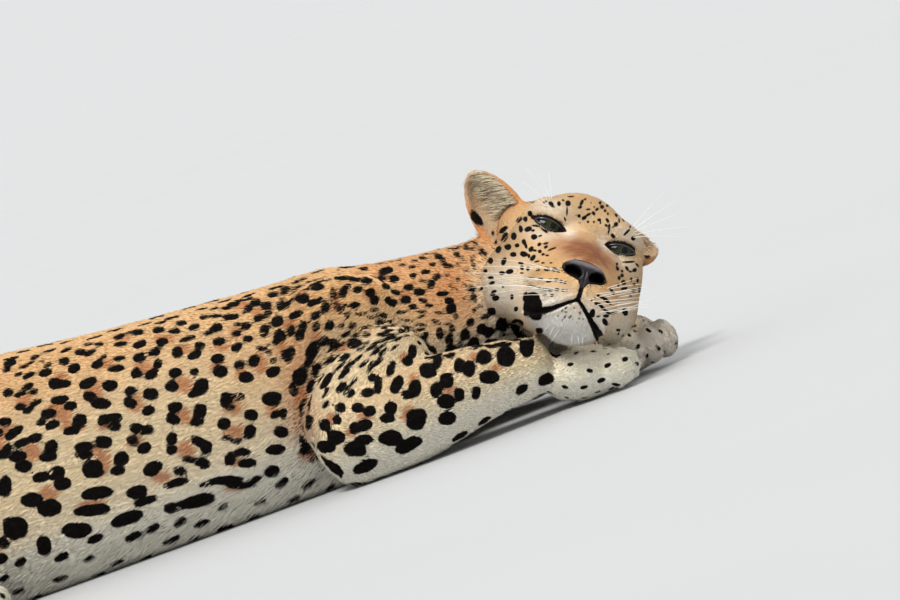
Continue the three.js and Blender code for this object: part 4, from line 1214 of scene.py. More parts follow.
# The far side takes the colours of the near side, so its points are looked up on the near side.
across, down = picture_of(folded(points, -1))
height = points[:, 2]
upper = smooth_step(height + 0.05 * normals[:, 2], 0.13, 0.29)
to_front = smooth_step(across, 170, 330) * (1 - mask("upper_arm_right", "forearm"))
# Painted shade: the fold between the body and the upper arm is darkened to a warm brown.
crease_shade = np.exp(-(((across - 303) / 15) ** 2) - ((down - 392) / 62) ** 2) * mask("torso", "upper_arm_right")
nape = mask("neck") * (0.45 + 0.35 * ripple(points, 0.05))
# The underside is pale, and its greenish cream is partly painted light, a green reflection from below.
below = smooth_step(-height, -0.075, -0.022) * (1 - 0.5 * mask("forearm"))
ground = laid_over(
    plain(CREAM, len(points)),
    (TAWNY, 0.10 + 0.8 * upper),
    (TAWNY, 0.75 * to_front * smooth_step(height, 0.06, 0.17)),
    # painted shade in the fold between body and arm
    (paint(186, 112, 56), 0.85 * crease_shade),
    (ORANGE, nape * smooth_step(height, 0.08, 0.16)),
    (ORANGE, mask("tail_root", "tail_middle") * 0.25 * smooth_step(normals[:, 2], -0.1, 0.7)),
    (TAWNY, mask("thigh") * 0.4),
    (CREAM, mask("forearm") * 0.55),
    (TAWNY, mask("forearm_right") * 0.5 * smooth_step(height, 0.05, 0.12)),
    # pale underside with a painted green reflection
    (paint(238, 238, 212), below * 0.85),
    (WHITE, smooth_step(-normals[:, 2], -0.1, 0.5) * 0.8),
    (paint(226, 220, 212), mask("forepaw_left") * 0.85),
    (WHITE, mask("forepaw_right", "hind_foot") * 0.45),
)
print("ground mixed for the body")

# %% Mix the colours of the face
ahead, aside, above = face.T
bands = 0.85 + 0.35 * ripple(face * MM, 0.006)
head_ground = laid_over(
    plain(CREAM, len(points)),
    (TAWNY, 0.55 + 0.45 * smooth_step(above, -10, 45) * smooth_step(-ahead, -20, 60)),
    (ORANGE, 0.75 * smooth_step(-ahead, 58, 100) * smooth_step(above, -110, -20)),
    (WHITE, 0.85 * glow(face, (-22, 62, -78), (30, 30, 26))),
    (paint(216, 168, 102), 1.1 * glow(face, (52, 26, -66), (26, 19, 16))),
    (paint(212, 170, 116), 0.85 * glow(face, (-18, 72, -22), (30, 17, 24))),
    (WHITE, 0.7 * glow(face, (58, 24, -96), (26, 26, 9))),
    (ORANGE, 0.8 * glow(face, (26, 16, -28), (22, 15, 16))),
    (RUST, 1.6 * bands * glow(face, (42, 0, -29), (32, 21, 15))),
    (WHITE, 0.85 * glow(face, (10, 20, -4), (12, 5, 8))),
    (WHITE, 0.6 * glow(face, (2, 44, 16), (16, 15, 7))),
    (WHITE, 0.55 * glow(face, (2, 44, -16), (16, 15, 6))),
    (paint(254, 254, 250), 1.5 * glow(face, (48, 0, -122), (36, 32, 19))),
)
# Painted shade: the forehead and the upper cheeks are darkened, as if less light fell on them.
face_shade = 0.16 * glow(face, (20, 0, 35), (45, 60, 26)) + 0.22 * glow(face, (-15, 70, -18), (34, 20, 28))
head_ground *= 1 - face_shade[:, None]
head_share = mask("head", rounds=4)
ground = laid_over(ground, ((0, 0, 0), head_share)) + head_ground * head_share[:, None]
print("ground mixed for the face")

# %% Mix the colours of the ears
# Root, tip, the way the cup opens, which side lies towards the other ear, and how much hair shows.
EARS = {
    "ear_right": ((-92, -74, 14), (-103, -121, 56), (0.8, -0.5, 0), 1, 1.0),
    "ear_left": ((-92, 51, 37), (-137, 97, 54), (0.58, 0.38, 0.72), -1, 0.45),
}
ear_hair = np.zeros(len(points))
ear_hair_way = np.zeros_like(points)
pouch_shadow = np.full(len(points), NO_INK)
for name, (root, tip, opens, inward, hairiness) in EARS.items():
    # Height up the ear runs from 0 to 1, and to_middle is how far a place lies towards the other ear.
    chosen = part_mask(part, name)
    up_way = np.array(tip, float) - np.array(root)
    ear_length = np.linalg.norm(up_way)
    up_way /= ear_length
    open_way = np.array(opens) - up_way * (np.array(opens) @ up_way)
    open_way /= np.linalg.norm(open_way)
    side_way = np.cross(up_way, open_way)
    off = face[chosen] - np.array(root)
    up_ear, to_side = off @ up_way / ear_length, off @ side_way
    facing = (normals[chosen] @ HEAD_AXES) @ open_way
    to_middle = to_side * np.sign(side_way[1]) * inward
    outward = side_way * -np.sign(side_way[1]) * inward
    inside = hairiness * smooth_step(facing, 0.0, 0.3)
    ear_hair[chosen] = inside * smooth_step(to_middle, -6, 6) * smooth_step(-up_ear, -1.0, -0.8)
    ear_hair_way[chosen] = HEAD_AXES @ (outward * 0.86 + up_way * 0.38 + open_way * 0.3)
    # Painted shadow: the pouch, a fold on the outer edge of the ear that isn't modelled, is inked black.
    pouch_shadow[chosen] = 3.6 - np.hypot((to_middle + 22.5) * 0.85, (up_ear - 0.28) * 22)
    back = smooth_step(-facing, -0.15, 0.35)
    rim = np.clip(smooth_step(np.abs(to_side), 17, 25) + smooth_step(up_ear, 0.9, 1.12), 0, 1)
    eye_spot = smooth_step(-np.abs(up_ear - 0.62), -0.26, -0.14) * smooth_step(-np.abs(to_side), -17, -10)
    colours = laid_over(
        plain(GREY_BROWN, len(off)),
        (CREAM, 0.35 * smooth_step(-up_ear, -0.75, -0.1)),
        # Painted shade: the deep lower part of the cup, towards the other ear, is darkened.
        (paint(64, 48, 38), 0.6 * smooth_step(to_middle, -14, 2) * smooth_step(-up_ear, -0.7, -0.3)),
        (ORANGE, rim),
    )
    behind = laid_over(
        plain(ORANGE, len(off)),
        (paint(24, 19, 17), smooth_step(-up_ear, -0.55, -0.35)),
        (WHITE, eye_spot),
    )
    ground[chosen] = colours * (1 - back[:, None]) + behind * back[:, None]
ground = spread(ground, 2)
lid_line = past_lid(face)
on_lids = (held > 0.5) & (beside(face, EYE_MIDDLE) < 40)
along, across_eye = eye_plane(face)
rim_width = 2.3 - 1.3 * smooth_step(along, 12, 20) + 0.8 * smooth_step(across_eye, 1, 4)
off_ball = 0.6 * np.maximum(beside(face, EYE_MIDDLE) - 22, 0)
rim_ink = np.where(on_lids, rim_width - lid_line - off_ball, NO_INK)
tear = 3.6 - off_ball - np.hypot(along + LID_HALF_LENGTH + 0.5, across_eye + 0.9)
tear = np.where(on_lids, tear, NO_INK)
lip_width = 1.5 + 2.4 * smooth_step(np.abs(aside), 10, 38)
lip_ink = np.where(ahead > 18, lip_width - mouth_gap, NO_INK)
nose_edge = np.clip(1.6 - nose_gap, NO_INK, -NO_INK)
mouth_gap = np.minimum(mouth_gap, cleft_gap)
line_ink = np.max([rim_ink, tear, lip_ink, 2.0 - cleft_gap, nose_edge, pouch_shadow], axis=0)
skin_ink = np.maximum(skin_ink, line_ink)
print("ears and lines of the face coloured")

# %% [markdown]
# ## One recipe for skin and coat
# The marks, the hearts of the rosettes and the ground are carried by the mesh,
# so one recipe can colour both.
# The recipe cuts the blots at height zero, lays black over tawny,
# and adds the small differences between hairs.
# The skin gets fine noise for its bump, and the tufts are shaded from root to tip.

# %% Write the coat's recipe
def coat_recipe(name, is_tuft):
    r = Recipe(name, Roughness=0.72, Specular_IOR_Level=0.12)
    fine = r.noise(260.0, 3.0)
    broad = r.noise(38.0, 2.0)
    heart = (r.carried("heart") + (broad - 0.5) * 1.4).rising(-2.0, 0.6)
    ink = (r.carried("ink") + (fine - 0.5) * 0.5).rising(-0.3, 0.35)
    ground_colour = r.carried("ground", out=0)
    coloured = r.mix(heart * 0.85, ground_colour, paint(188, 108, 38))
    shaded = r.mix(broad * 0.10, coloured, paint(150, 104, 66))
    if is_tuft:
        shaded = r.mix(r.carried("shade") * 0.26, shaded, paint(140, 98, 60))
        shaded = r.mix(r.carried("tip") * 0.2, shaded, paint(255, 246, 226))
    else:
        shaded = r.mix(fine * 0.3, shaded, paint(140, 98, 62))
    black = r.mix(fine * 0.35, paint(8, 6, 5), paint(32, 23, 18))
    r.feed(Base_Color=r.mix(ink, shaded, black))
    if not is_tuft:
        r.bump(r.noise(420.0, 2.0), 0.0008, 0.5)
    return r.material


skin_finish = coat_recipe("short_fur_on_skin", False)
tuft_finish = coat_recipe("fur_tufts", True)


def carry(mesh, name, values, kind="FLOAT", key="value"):
    made = mesh.attributes.new(name, kind, "POINT")
    made.data.foreach_set(key, np.asarray(values, np.float32).ravel())


def carry_colour(mesh, name, values):
    opaque = np.column_stack([values, np.ones(len(values))])
    carry(mesh, name, opaque, "FLOAT_COLOR", "color")


carry(skin.data, "ink", skin_ink)
carry(skin.data, "heart", skin_heart)
carry_colour(skin.data, "ground", ground)
skin.data.materials.append(skin_finish)
print("recipes", len(bpy.data.materials))

# %% [markdown]
# ## A flat map of the skin
# Baking a tuft's colour needs a flat map that tells where on the animal it grows.
# The skin is unwrapped by its own shape, in pieces that each lie almost flat.
# Every tuft will then take a tiny patch of that map, at the place of its root.

# %% Unwrap the skin
edit(skin, lambda: bpy.ops.uv.smart_project(angle_limit=math.radians(66), island_margin=0.002))
skin.data.uv_layers.active.name = "OFBake"
skin_uv = numbers(skin.data.uv_layers["OFBake"].data, "uv", 2)
skin.data.calc_loop_triangles()
triangle_loops = numbers(skin.data.loop_triangles, "loops", 3, np.int32)
skin_triangles = numbers(skin.data.loop_triangles, "vertices", 3, np.int32)
print("map corners", len(skin_uv))

# %% [markdown]
# ## Tufts
# A leopard's coat is short and lies flat, but it breaks the outline everywhere as a fine, soft edge.
# Particle hair would be lost when the model leaves Blender,
# so each tuft is a small closed blade of four faces.
# Roots are drawn at random over the skin, closer together on the face, and each blade lies along the comb.

# %% Sow the roots
# Tufts a square centimetre, length, width and lift in degrees for each part.
COAT_OF_PART = {
    "torso": (23, 10.5, 1.8, 8), "neck": (32, 9.5, 1.6, 9), "thigh": (22, 10.5, 1.8, 8),
    "upper_arm_right": (32, 9, 1.5, 8), "upper_arm_left": (22, 9.5, 1.7, 8),
    "forearm_right": (36, 8, 1.4, 8), "forearm_left": (28, 8, 1.5, 8), "shank": (24, 9, 1.7, 8),
    "forepaw": (60, 5.5, 1.0, 8), "hind_foot": (40, 6, 1.1, 8), "tail_root": (26, 12, 1.7, 10),
    "tail_middle": (26, 13, 1.7, 11), "tail_tip": (26, 14, 1.7, 12), "head": (70, 7, 1.0, 8),
    "ear": (80, 4.5, 0.8, 8),
}
table = np.array([row_of(COAT_OF_PART, name) for name in FLESH], float)
corner_a, corner_b, corner_c = (points[skin_triangles[:, k]] for k in range(3))
area = lengths(np.cross(corner_b - corner_a, corner_c - corner_a)) / 2
middle_of = (corner_a + corner_b + corner_c) / 3
part_of = part[skin_triangles[:, 0]]
wanted_tufts = table[part_of, 0] * area * 1e4
muzzle_share = smooth_step(in_head(middle_of)[:, 0], -45, 15) * part_mask(part_of, "head")
wanted_tufts *= 1 + 0.55 * muzzle_share
bare = (on_lids & (lid_line < 1.6)) | (mouth_gap < 1.4) | (nose_gap < 1.2)
wanted_tufts[bare[skin_triangles[:, 0]] | (middle_of[:, 2] < 3 * MM)] = 0
whole = np.floor(wanted_tufts + dice.uniform(0, 1, len(area))).astype(int)
root_triangle = np.repeat(np.arange(len(area)), whole)
share = dice.uniform(0, 1, (len(root_triangle), 2))
share[share.sum(1) > 1] = 1 - share[share.sum(1) > 1]
weights = np.concatenate([share, 1 - share.sum(1, keepdims=True)], 1)


def at_roots(values):
    corners = values[skin_triangles[root_triangle]]
    return (corners * weights.reshape(weights.shape + (1,) * (corners.ndim - 2))).sum(1)


roots = at_roots(points)
root_normal = unit(at_roots(normals))
root_lie = unit(at_roots(lie))
root_ground = at_roots(ground)
root_part = part_of[root_triangle]
root_uv = (skin_uv[triangle_loops[root_triangle]] * weights[:, :, None]).sum(1)
root_face = in_head(roots)
print("tufts", len(roots))

# %% Shape the tufts
RIDGE_AT = 0.48
INK_AT = (0.05, RIDGE_AT, 0.95)
CHIN_MIDDLE = (46, 0, -118)
CHIN_SIZE = (24, 24, 16)
HAIRY_SHARE = 0.34
count = len(roots)
long = table[root_part, 1] * dice.uniform(0.75, 1.25, count)
wide = table[root_part, 2] * dice.uniform(0.8, 1.2, count)
lift = table[root_part, 3] * dice.uniform(0.6, 1.5, count)
of_head = part_mask(root_part, "head")
to_muzzle = smooth_step(root_face[:, 0], -60, 30) * of_head
long *= 1 - 0.6 * to_muzzle
wide *= 1 - 0.3 * to_muzzle
low = (1 - smooth_step(roots[:, 2], 0.012, 0.06)) * part_mask(root_part, "torso", "thigh")
long *= 1 + 0.7 * low
lift *= 1 + 0.9 * low
ruff = smooth_step(-root_face[:, 0], 30, 60) * smooth_step(-root_face[:, 2], 30, 70) * of_head
long *= 1 + 0.8 * ruff
chin = np.exp(-0.5 * (((root_face - CHIN_MIDDLE) / CHIN_SIZE) ** 2).sum(1)) * of_head
long *= 1 + 2.6 * chin
lift *= 1 + 1.2 * chin
in_ear = at_roots(ear_hair) * HAIRY_SHARE > dice.uniform(0, 1, count)
long = np.where(in_ear, np.where(roots[:, 2] > 0.2, dice.uniform(12, 23, count), 8.0), long)
# In a crease the skin curves up under a flat tuft and would bury it, so it stands higher there.
hollow = at_roots(((spread(points, 4) - points) * normals).sum(1)) / MM
lift += 24 * np.clip(hollow - 0.05, 0, 1.3)
swing = np.radians(dice.normal(0, 7, count))
aside = np.cross(root_normal, root_lie)
heading = unit(root_lie * np.cos(swing)[:, None] + aside * np.sin(swing)[:, None])
ear_heading = unit(unit(at_roots(ear_hair_way)) + dice.normal(0, 0.12, (count, 3)))
heading = np.where(in_ear[:, None], ear_heading, heading)
hair_ground = np.array(paint(252, 240, 208)[:3]) * dice.uniform(0.7, 1.1, (count, 1))
root_ground = np.where(in_ear[:, None], hair_ground, root_ground)
rise = np.radians(lift)
blade = unit(heading * np.cos(rise)[:, None] + root_normal * np.sin(rise)[:, None])
aside = unit(np.cross(root_normal, blade))
root_sight = at_roots(in_sight)
inks = []
for share_of_length in INK_AT:
    where = roots + heading * (long * share_of_length * MM)[:, None]
    stamped = stamp_both(where, root_normal, root_sight, blots, read_blots, EDGE)
    inks.append(np.maximum(stamped, at_roots(line_ink)))
root_ink, ridge_ink, tip_ink = inks
root_heart = stamp_both(roots, root_normal, root_sight, hearts, ROSETTE_HEARTS, HEART_EDGE)
shade = np.clip(dice.normal(0.35, 0.28, count), 0, 1) * (1 - 0.9 * chin)
print("longest tuft", round(float(long.max()), 1), "mm")

# %% [markdown]
# ## Tufts become meshes
# One object with a million faces would be unwieldy, so the coat is parted by regions of the body.
# Each blade has two corners at its root, a raised ridge and a tip.
# The blades are written straight into the mesh,
# because adding them one by one with operators would take hours.

# %% Build the coat
BLADE_FACES = np.array([(0, 3, 2), (1, 2, 3), (0, 2, 1), (0, 1, 3)])
RIDGE_HEIGHT = 0.55
BURIED = 0.5 * MM
ABOVE_FLOOR = 0.0002
# The corners of one tuft on the flat map, from the place of its root.
PATCH = np.array([(0, 0), (0.003, 0), (0.0015, 0.0012), (0.0015, 0.003)])


def mesh_of(name, corners, faces, finish):
    mesh = bpy.data.meshes.new(name)
    mesh.vertices.add(len(corners))
    mesh.vertices.foreach_set("co", corners.astype(np.float32).ravel())
    mesh.loops.add(faces.size)
    mesh.loops.foreach_set("vertex_index", faces.astype(np.int32).ravel())
    mesh.polygons.add(len(faces))
    mesh.polygons.foreach_set("loop_start", np.arange(0, faces.size, faces.shape[1], dtype=np.int32))
    mesh.update(calc_edges=True)
    mesh.materials.append(finish)
    piece = bpy.data.objects.new(name, mesh)
    bpy.context.scene.collection.objects.link(piece)
    return piece


def build_coat(name, chosen):
    root, side, normal = roots[chosen], aside[chosen], root_normal[chosen]
    half = (wide[chosen] / 2 * MM)[:, None]
    reach = (long[chosen] * MM)[:, None]
    base = root - normal * BURIED
    corners = np.stack([
        base + side * half,
        base - side * half,
        root + blade[chosen] * reach * RIDGE_AT + normal * half * RIDGE_HEIGHT,
        root + blade[chosen] * reach,
    ], 1)
    corners[:, :, 2] = np.maximum(corners[:, :, 2], ABOVE_FLOOR)
    number = len(root)
    faces = (np.arange(number)[:, None, None] * 4 + BLADE_FACES[None]).reshape(-1, 3)
    piece = mesh_of(name, corners.reshape(-1, 3), faces, tuft_finish)
    mesh = piece.data
    for key, values in (("heart", root_heart), ("shade", shade)):
        carry(mesh, key, np.repeat(values[chosen], 4))
    first = root_ink[chosen]
    carry(mesh, "ink", np.stack([first, first, ridge_ink[chosen], tip_ink[chosen]], 1).ravel())
    carry(mesh, "tip", np.tile([0.0, 0.0, 0.5, 1.0], number))
    carry_colour(mesh, "ground", np.repeat(root_ground[chosen], 4, 0))
    uv = mesh.uv_layers.new(name="OFBake")
    spots = (root_uv[chosen][:, None, None] + PATCH[BLADE_FACES][None]).reshape(-1, 2)
    uv.data.foreach_set("uv", np.clip(spots, 0, 1).astype(np.float32).ravel())
    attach(piece, "root")
    return piece


left_face = root_face[:, 1] > 0
front_face = of_head & (root_face[:, 0] > -20)
foreleg = part_mask(root_part, "upper_arm", "forearm", "forepaw")
hind_leg = part_mask(root_part, "thigh", "shank", "hind_foot")
torso = part_mask(root_part, "torso")
left_body = roots[:, 1] > 0
COAT_PIECES = {
    "coat_face_left": front_face & left_face,
    "coat_face_right": front_face & ~left_face,
    "coat_cheeks": of_head & ~front_face,
    "coat_ears": part_mask(root_part, "ear"),
    "coat_neck": part_mask(root_part, "neck"),
    "coat_foreleg_left": foreleg & left_body,
    "coat_foreleg_right": foreleg & ~left_body,
    "coat_hindleg_left": hind_leg & left_body,
    "coat_hindleg_right": hind_leg & ~left_body,
    "coat_tail": part_mask(root_part, "tail"),
    "coat_flank_right": torso & (roots[:, 1] < -0.03),
    "coat_flank_left": torso & (roots[:, 1] > 0.03),
    "coat_back": torso & (np.abs(roots[:, 1]) <= 0.03),
}
for name, chosen in COAT_PIECES.items():
    piece = build_coat(name, np.flatnonzero(chosen))
    print(name, len(piece.data.polygons), "triangles")

# %% Finish the skin
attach(skin, "root")
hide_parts(*FLESH)
print("skin done")

# %% [markdown]
# ## Eyes
# A leopard's eye is a large ball with a round pupil, and its iris fills most of the gap between the lids.
# A painted ball would look flat, because the clear bulge over the iris is what catches the light.
# So a ball is added, turned the way the animal looks and swollen over the iris,
# and the rings are painted by their distance from its middle.

# %% Make the eyes
GAZE = np.array([[0.975, 0.2, -0.03]])
IRIS_RADIUS = 11.0
PUPIL_RADIUS = 3.3
BULGE = 1.2


def eye_recipe():
    r = Recipe("wet_eye", Roughness=0.3, Specular_IOR_Level=0.02, Coat_Weight=0.28, Coat_Roughness=0.04)
    out = r.carried("out")
    spoke = {"Vector": r.carried("spoke", out=1), "Scale": 4.0, "Detail": 3.0}
    streak = r.node("ShaderNodeTexNoise", {}, spoke)
    iris = r.mix(streak.rising(0.36, 0.66), paint(12, 17, 8), paint(46, 58, 22))
    warm = r.mix(out.rising(PUPIL_RADIUS, PUPIL_RADIUS + 4), paint(44, 50, 20), iris)
    ringed = r.mix(out.rising(IRIS_RADIUS - 3.2, IRIS_RADIUS), warm, paint(15, 12, 10))
    pupil = 1 - out.rising(PUPIL_RADIUS - 0.2, PUPIL_RADIUS + 0.3)
    r.feed(Base_Color=r.mix(pupil, ringed, paint(4, 4, 4)))
    return r.material


def add_ball(name, around, rings):
    bpy.ops.object.select_all(action="DESELECT")
    bpy.ops.mesh.primitive_uv_sphere_add(segments=around, ring_count=rings, radius=1)
    piece = bpy.context.object
    piece.name = name
    return piece, numbers(piece.data.vertices, "co").astype(float)


def settle(piece, places, finish, slot, *nodes):
    """Writes the places of a piece, told in the head's frame, and gives it its finish. The slot is not
    used.
    """
    write_points(piece.data, from_head(places))
    shade_smooth(piece.data)
    piece.data.materials.append(finish)
    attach(piece, "root")
    if nodes:
        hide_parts(*nodes)


eye_finish = eye_recipe()
gaze = unit(GAZE)
gaze_side = unit(np.cross([[0, 0, 1]], gaze))
gaze_up = np.cross(gaze, gaze_side)
for side, name in ((-1, "right"), (1, "left")):
    ball, spot = add_ball("eyeball_" + name, 96, 64)
    off_axis = EYE_RADIUS * np.hypot(spot[:, 0], spot[:, 1])
    off_axis = np.where(spot[:, 2] > 0, off_axis, 2 * EYE_RADIUS)
    swelling = BULGE * np.clip(1 - (off_axis / (IRIS_RADIUS + 1)) ** 2, 0, 1)
    way = spot[:, :1] * gaze_side + spot[:, 1:2] * gaze_up + spot[:, 2:] * gaze
    places = EYE_MIDDLE * [1, side, 1] + way * (EYE_RADIUS + swelling)[:, None]
    carry(ball.data, "out", off_axis)
    spokes = spot[:, :2] / np.maximum(np.hypot(spot[:, 0], spot[:, 1]), 1e-6)[:, None]
    streaked_at = np.column_stack([spokes * 2.4, off_axis * 0.06])
    carry(ball.data, "spoke", streaked_at, "FLOAT_VECTOR", "vector")
    settle(ball, places, eye_finish, "eye", "eye_" + name)
print("eyes", IRIS_RADIUS * 2, "mm across the iris")

# %% [markdown]
# ## Rims of the lids
# The edge of each lid is bare, black and wet, and it frames the eye.
# It could be painted on the skin, but a real rim stands up and throws a fine shadow on the ball.
# One helper makes round, tapered strands along paths, closed at their ends,
# and it serves for the rims and later for the whiskers.

# %% Line the lids
def strands(name, paths, thickness, around, finish, ring=False):
    """Round strands along paths in the head's frame, with one thickness for each point."""
    corners, faces, base = [], [], 0
    for path, thick in zip(paths, thickness):
        if ring:
            ahead = unit(np.roll(path, -1, 0) - np.roll(path, 1, 0))
        else:
            ahead = unit(np.gradient(path, axis=0))
        across_way = unit(np.cross(ahead, [[0.31, 0.22, 0.92]]))
        rise_way = np.cross(across_way, ahead)
        turn = np.linspace(0, 2 * math.pi, around, endpoint=False)[None, :, None]
        loop = across_way[:, None] * np.cos(turn) + rise_way[:, None] * np.sin(turn)
        corners.append((path[:, None] + loop * thick[:, None, None]).reshape(-1, 3))
        next_corner = [(k + 1) % around for k in range(around)]
        for i in range(len(path) if ring else len(path) - 1):
            here, there = base + i * around, base + (i + 1) % len(path) * around
            for k, m in enumerate(next_corner):
                faces += [(here + k, here + m, there + m), (here + k, there + m, there + k)]
        ends = base + len(path) * around
        if not ring:
            corners.append(path[[0, -1]])
            for k, m in enumerate(next_corner):
                faces += [(ends, base + m, base + k), (ends + 1, ends - around + k, ends - around + m)]
        base = ends + (0 if ring else 2)
    piece = mesh_of(name, from_head(np.concatenate(corners)), np.array(faces), finish)
    edit(piece, lambda: bpy.ops.mesh.normals_make_consistent(inside=False))
    shade_smooth(piece.data)
    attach(piece, "root")
    return piece


RIM_RADIUS = EYE_RADIUS + 0.9
rim = Recipe("lid_rim", Roughness=0.32, Coat_Weight=0.5, Coat_Roughness=0.1)
rim_grain = rim.noise(900.0, 3.0)
rim.feed(Base_Color=rim.mix(rim_grain, paint(12, 9, 9), paint(40, 30, 30)))
rim.bump(rim_grain, 0.0003, 0.6)
for side, name in ((-1, "right"), (1, "left")):
    turn = np.linspace(0, 2 * math.pi, 112, endpoint=False)
    reach = LID_HALF_LENGTH * np.cos(turn)
    over = lid_height(reach, np.sin(turn) > 0) * np.sign(np.sin(turn))
    out = (reach * math.cos(EYE_SLANT) - over * math.sin(EYE_SLANT)) * RIM_RADIUS / LID_RADIUS
    climb = (reach * math.sin(EYE_SLANT) + over * math.cos(EYE_SLANT)) * RIM_RADIUS / LID_RADIUS
    ahead = EYE_MIDDLE[0] + np.sqrt(RIM_RADIUS ** 2 - out ** 2 - climb ** 2)
    path = np.stack([ahead, (EYE_MIDDLE[1] + out) * side, EYE_MIDDLE[2] + climb], 1)
    thick = 1.0 + 0.35 * np.clip(np.sin(turn), 0, 1)
    strands("lid_rim_" + name, [path], [thick], 10, rim.material, ring=True)
print("lid rims", len(path), "steps each")

# %% [markdown]
# ## Nose leather
# The bare nose is a pad of pebbled, moist skin.
# It has a comma-shaped nostril each side and a groove down its middle.
# A ball with many faces is added, and each point is moved in or out
# until it lies on the same blended masses as the solid nose.
# The nostrils and the groove are then pressed in, which keeps their edges round as flesh is. Their hollows
# and the grooves between pebbles are painted dark as shade, and the top edge is painted lighter as a sheen.

# %% Make the nose
NOSE_HEART = np.array([66, 0, -60])
NOSTRIL = {"side": 12.6, "height": -61.6, "half_length": 9.2, "half_height": 7.4, "depth": 13.0}
NOSTRIL_TAIL = [(80, 15, -60), (78, 20, -58.5), (74, 24, -53.5)]
nose_piece, spot = add_ball("nose_leather", 176, 120)
reach = np.full(len(spot), 36.0)
for _ in range(60):
    places = NOSE_HEART + spot * reach[:, None]
    reach -= 0.5 * np.clip(blended_distance(places, NOSE_MASSES, NOSE_BLEND), -2, 4)
places = NOSE_HEART + spot * reach[:, None]
ahead_facing = smooth_step(spot[:, 0], 0.05, 0.4)
sideways = np.abs(places[:, 1])
in_oval = 1 - ((sideways - NOSTRIL["side"]) / NOSTRIL["half_length"]) ** 2
over = places[:, 2] - NOSTRIL["height"] - 0.12 * (sideways - NOSTRIL["side"])
in_oval -= (over / NOSTRIL["half_height"]) ** 2
dip = smooth_step(in_oval, 0.0, 0.55)
rim_of_nostril = bell(in_oval, 0.25, -0.28)
tail_off = np.minimum(*[
    from_line(places * [0, 1, 1], np.array(NOSTRIL_TAIL) * [0, side, 1])[0] for side in (1, -1)
])
tail = bell(tail_off, 1.5)
groove = bell(places[:, 1], 1.1) * smooth_step(-places[:, 2], 52, 62)
push = NOSTRIL["depth"] * dip + 3.5 * tail * (1 - dip) + 1.3 * groove - 0.3 * rim_of_nostril
places[:, 0] -= push * ahead_facing
moist = Recipe("nose_leather", Roughness=0.6, Specular_IOR_Level=0.02, Coat_Roughness=0.3)
pebbles = {"Vector": moist.place(), "Scale": 850.0}
pebble = moist.node("ShaderNodeTexVoronoi", {"feature": "SMOOTH_F1"}, pebbles)
patchy = moist.noise(160.0, 3.0)
dark = moist.mix(patchy.rising(0.4, 0.7), paint(19, 16, 18), paint(36, 31, 34))
# Painted sheen: the top edge and a stripe along the middle of the pad are painted a lighter grey.
light = moist.mix(moist.carried("top_sheen") * (0.45 + patchy * 0.5), dark, paint(112, 102, 110))
# Painted shade: the nostrils, their tails and the underside at the sides are painted near black, and their
# wet coat is taken away.
hollow = moist.mix(moist.carried("hollow"), light, paint(3, 2, 2))
moist.feed(
    # Painted shade: the grooves between the pebbles are darkened.
    Base_Color=moist.mix(pebble.rising(0.3, 0.9) * 0.35, hollow, paint(8, 7, 8)),
    Coat_Weight=(1 - moist.carried("hollow")) * 0.45,
)
moist.bump(pebble * -1, 0.0004, 0.7)
# Where the painted sheen lies: the top edge and the middle stripe, but not in the nostrils or the groove.
top_sheen = smooth_step(places[:, 2], -55, -49)
top_sheen += bell(places[:, 1], 4.5) * smooth_step(-spot[:, 0], -1, -0.3)
carry(nose_piece.data, "top_sheen", np.clip(top_sheen, 0, 1) * (1 - dip) * (1 - 0.7 * groove))
# The hollow mask holds the painted shade: nostrils, their tails and under the sides of the pad.
under = smooth_step(sideways, 6, 11) * smooth_step(-places[:, 2], 58, 64)
carry(nose_piece.data, "hollow", np.clip(dip * 1.6 + tail + under, 0, 1) * ahead_facing)
settle(nose_piece, places, moist.material, "nose_skin", "nose")
print("nose", round(float(np.ptp(places[:, 1])), 1), "mm wide")

# %% [markdown]
# ## Whiskers
# Whiskers are thick white hairs that grow in rows from the dark spots of the lip,
# with a few more over each eye and on the chin.
# Curves would be lost when the model leaves Blender,
# so each whisker is a thin, tapered strand with four sides.
# Each starts inside the skin of the face, and bends back and down a little as it goes.

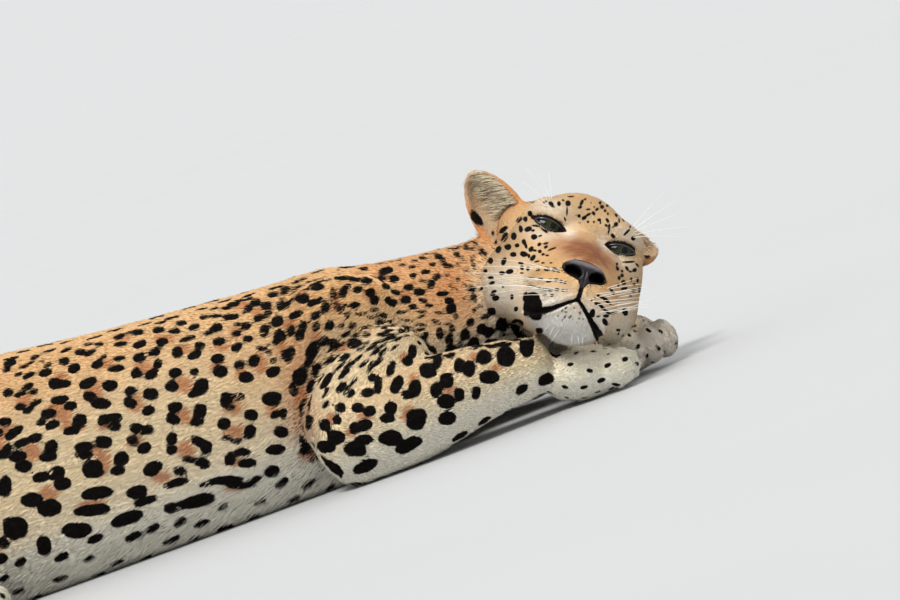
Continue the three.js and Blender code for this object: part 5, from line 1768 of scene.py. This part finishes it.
# %% Set the whiskers
WHISKER_STEPS = np.linspace(0, 1, 9)
WHISKER_RADIUS = 0.36
WHISKERS_A_SIDE = 18


def whisker(root, way, length, bend):
    root = bring_to_face([root])[0]
    way = unit(np.array([way], float))[0]
    share = WHISKER_STEPS[:, None]
    return root - way * 3 + length * (way * share + np.array(bend) * share ** 2)


def bring_back(mark, side):
    """The place on the face of a dark spot of the lip, or of its mirror image."""
    place = in_head(cast(mark[0], mark[1])[None])[0]
    return np.array([place[0], abs(place[1]) * side, place[2]])


whisker_paths = []
for side in (-1, 1):
    for mark in WHISKER_ROWS[:WHISKERS_A_SIDE]:
        root = bring_back(mark, side)
        behind = smooth_step(-root[0], -62, -30)
        if side < 0:
            way = (-0.3, -0.93, -0.02 + 0.006 * (root[2] + 66))
            length = dice.uniform(44, 64) + 34 * behind
            bend = (-0.2, 0.05, -0.1)
        else:
            way = (0.1, 0.74, 0.42)
            length = dice.uniform(34, 50) + 12 * behind
            bend = (-0.16, 0.06, 0.02)
        whisker_paths.append(whisker(root, np.array(way) + dice.normal(0, 0.06, 3), length, bend))
    for k in range(5):
        fan = math.radians(20 + 12 * k)
        root = (4 - 2 * k, side * (50 - 1.5 * k), 16 + 2.0 * k)
        way = np.array([0.16, side * math.cos(fan), math.sin(fan)]) + dice.normal(0, 0.04, 3)
        length = dice.uniform(38, 66) * (1.15 if side > 0 else 0.8)
        whisker_paths.append(whisker(root, way, length, (-0.2, 0, -0.05)))
    for k in range(3):
        root = (56, side * (5 + 6 * k), -116)
        way = np.array([0.5, side * 0.25, -0.55]) + dice.normal(0, 0.08, 3)
        whisker_paths.append(whisker(root, way, dice.uniform(16, 26), (-0.1, 0, -0.25)))
strand = Recipe("whisker", Roughness=0.4)
sheen = strand.noise(240.0, 2.0)
strand.feed(Base_Color=strand.mix(sheen, paint(226, 222, 210), paint(255, 253, 246)))
taper = [WHISKER_RADIUS * (1 - 0.75 * WHISKER_STEPS)] * len(whisker_paths)
strands("whiskers", whisker_paths, taper, 4, strand.material)
print("whiskers", len(whisker_paths))
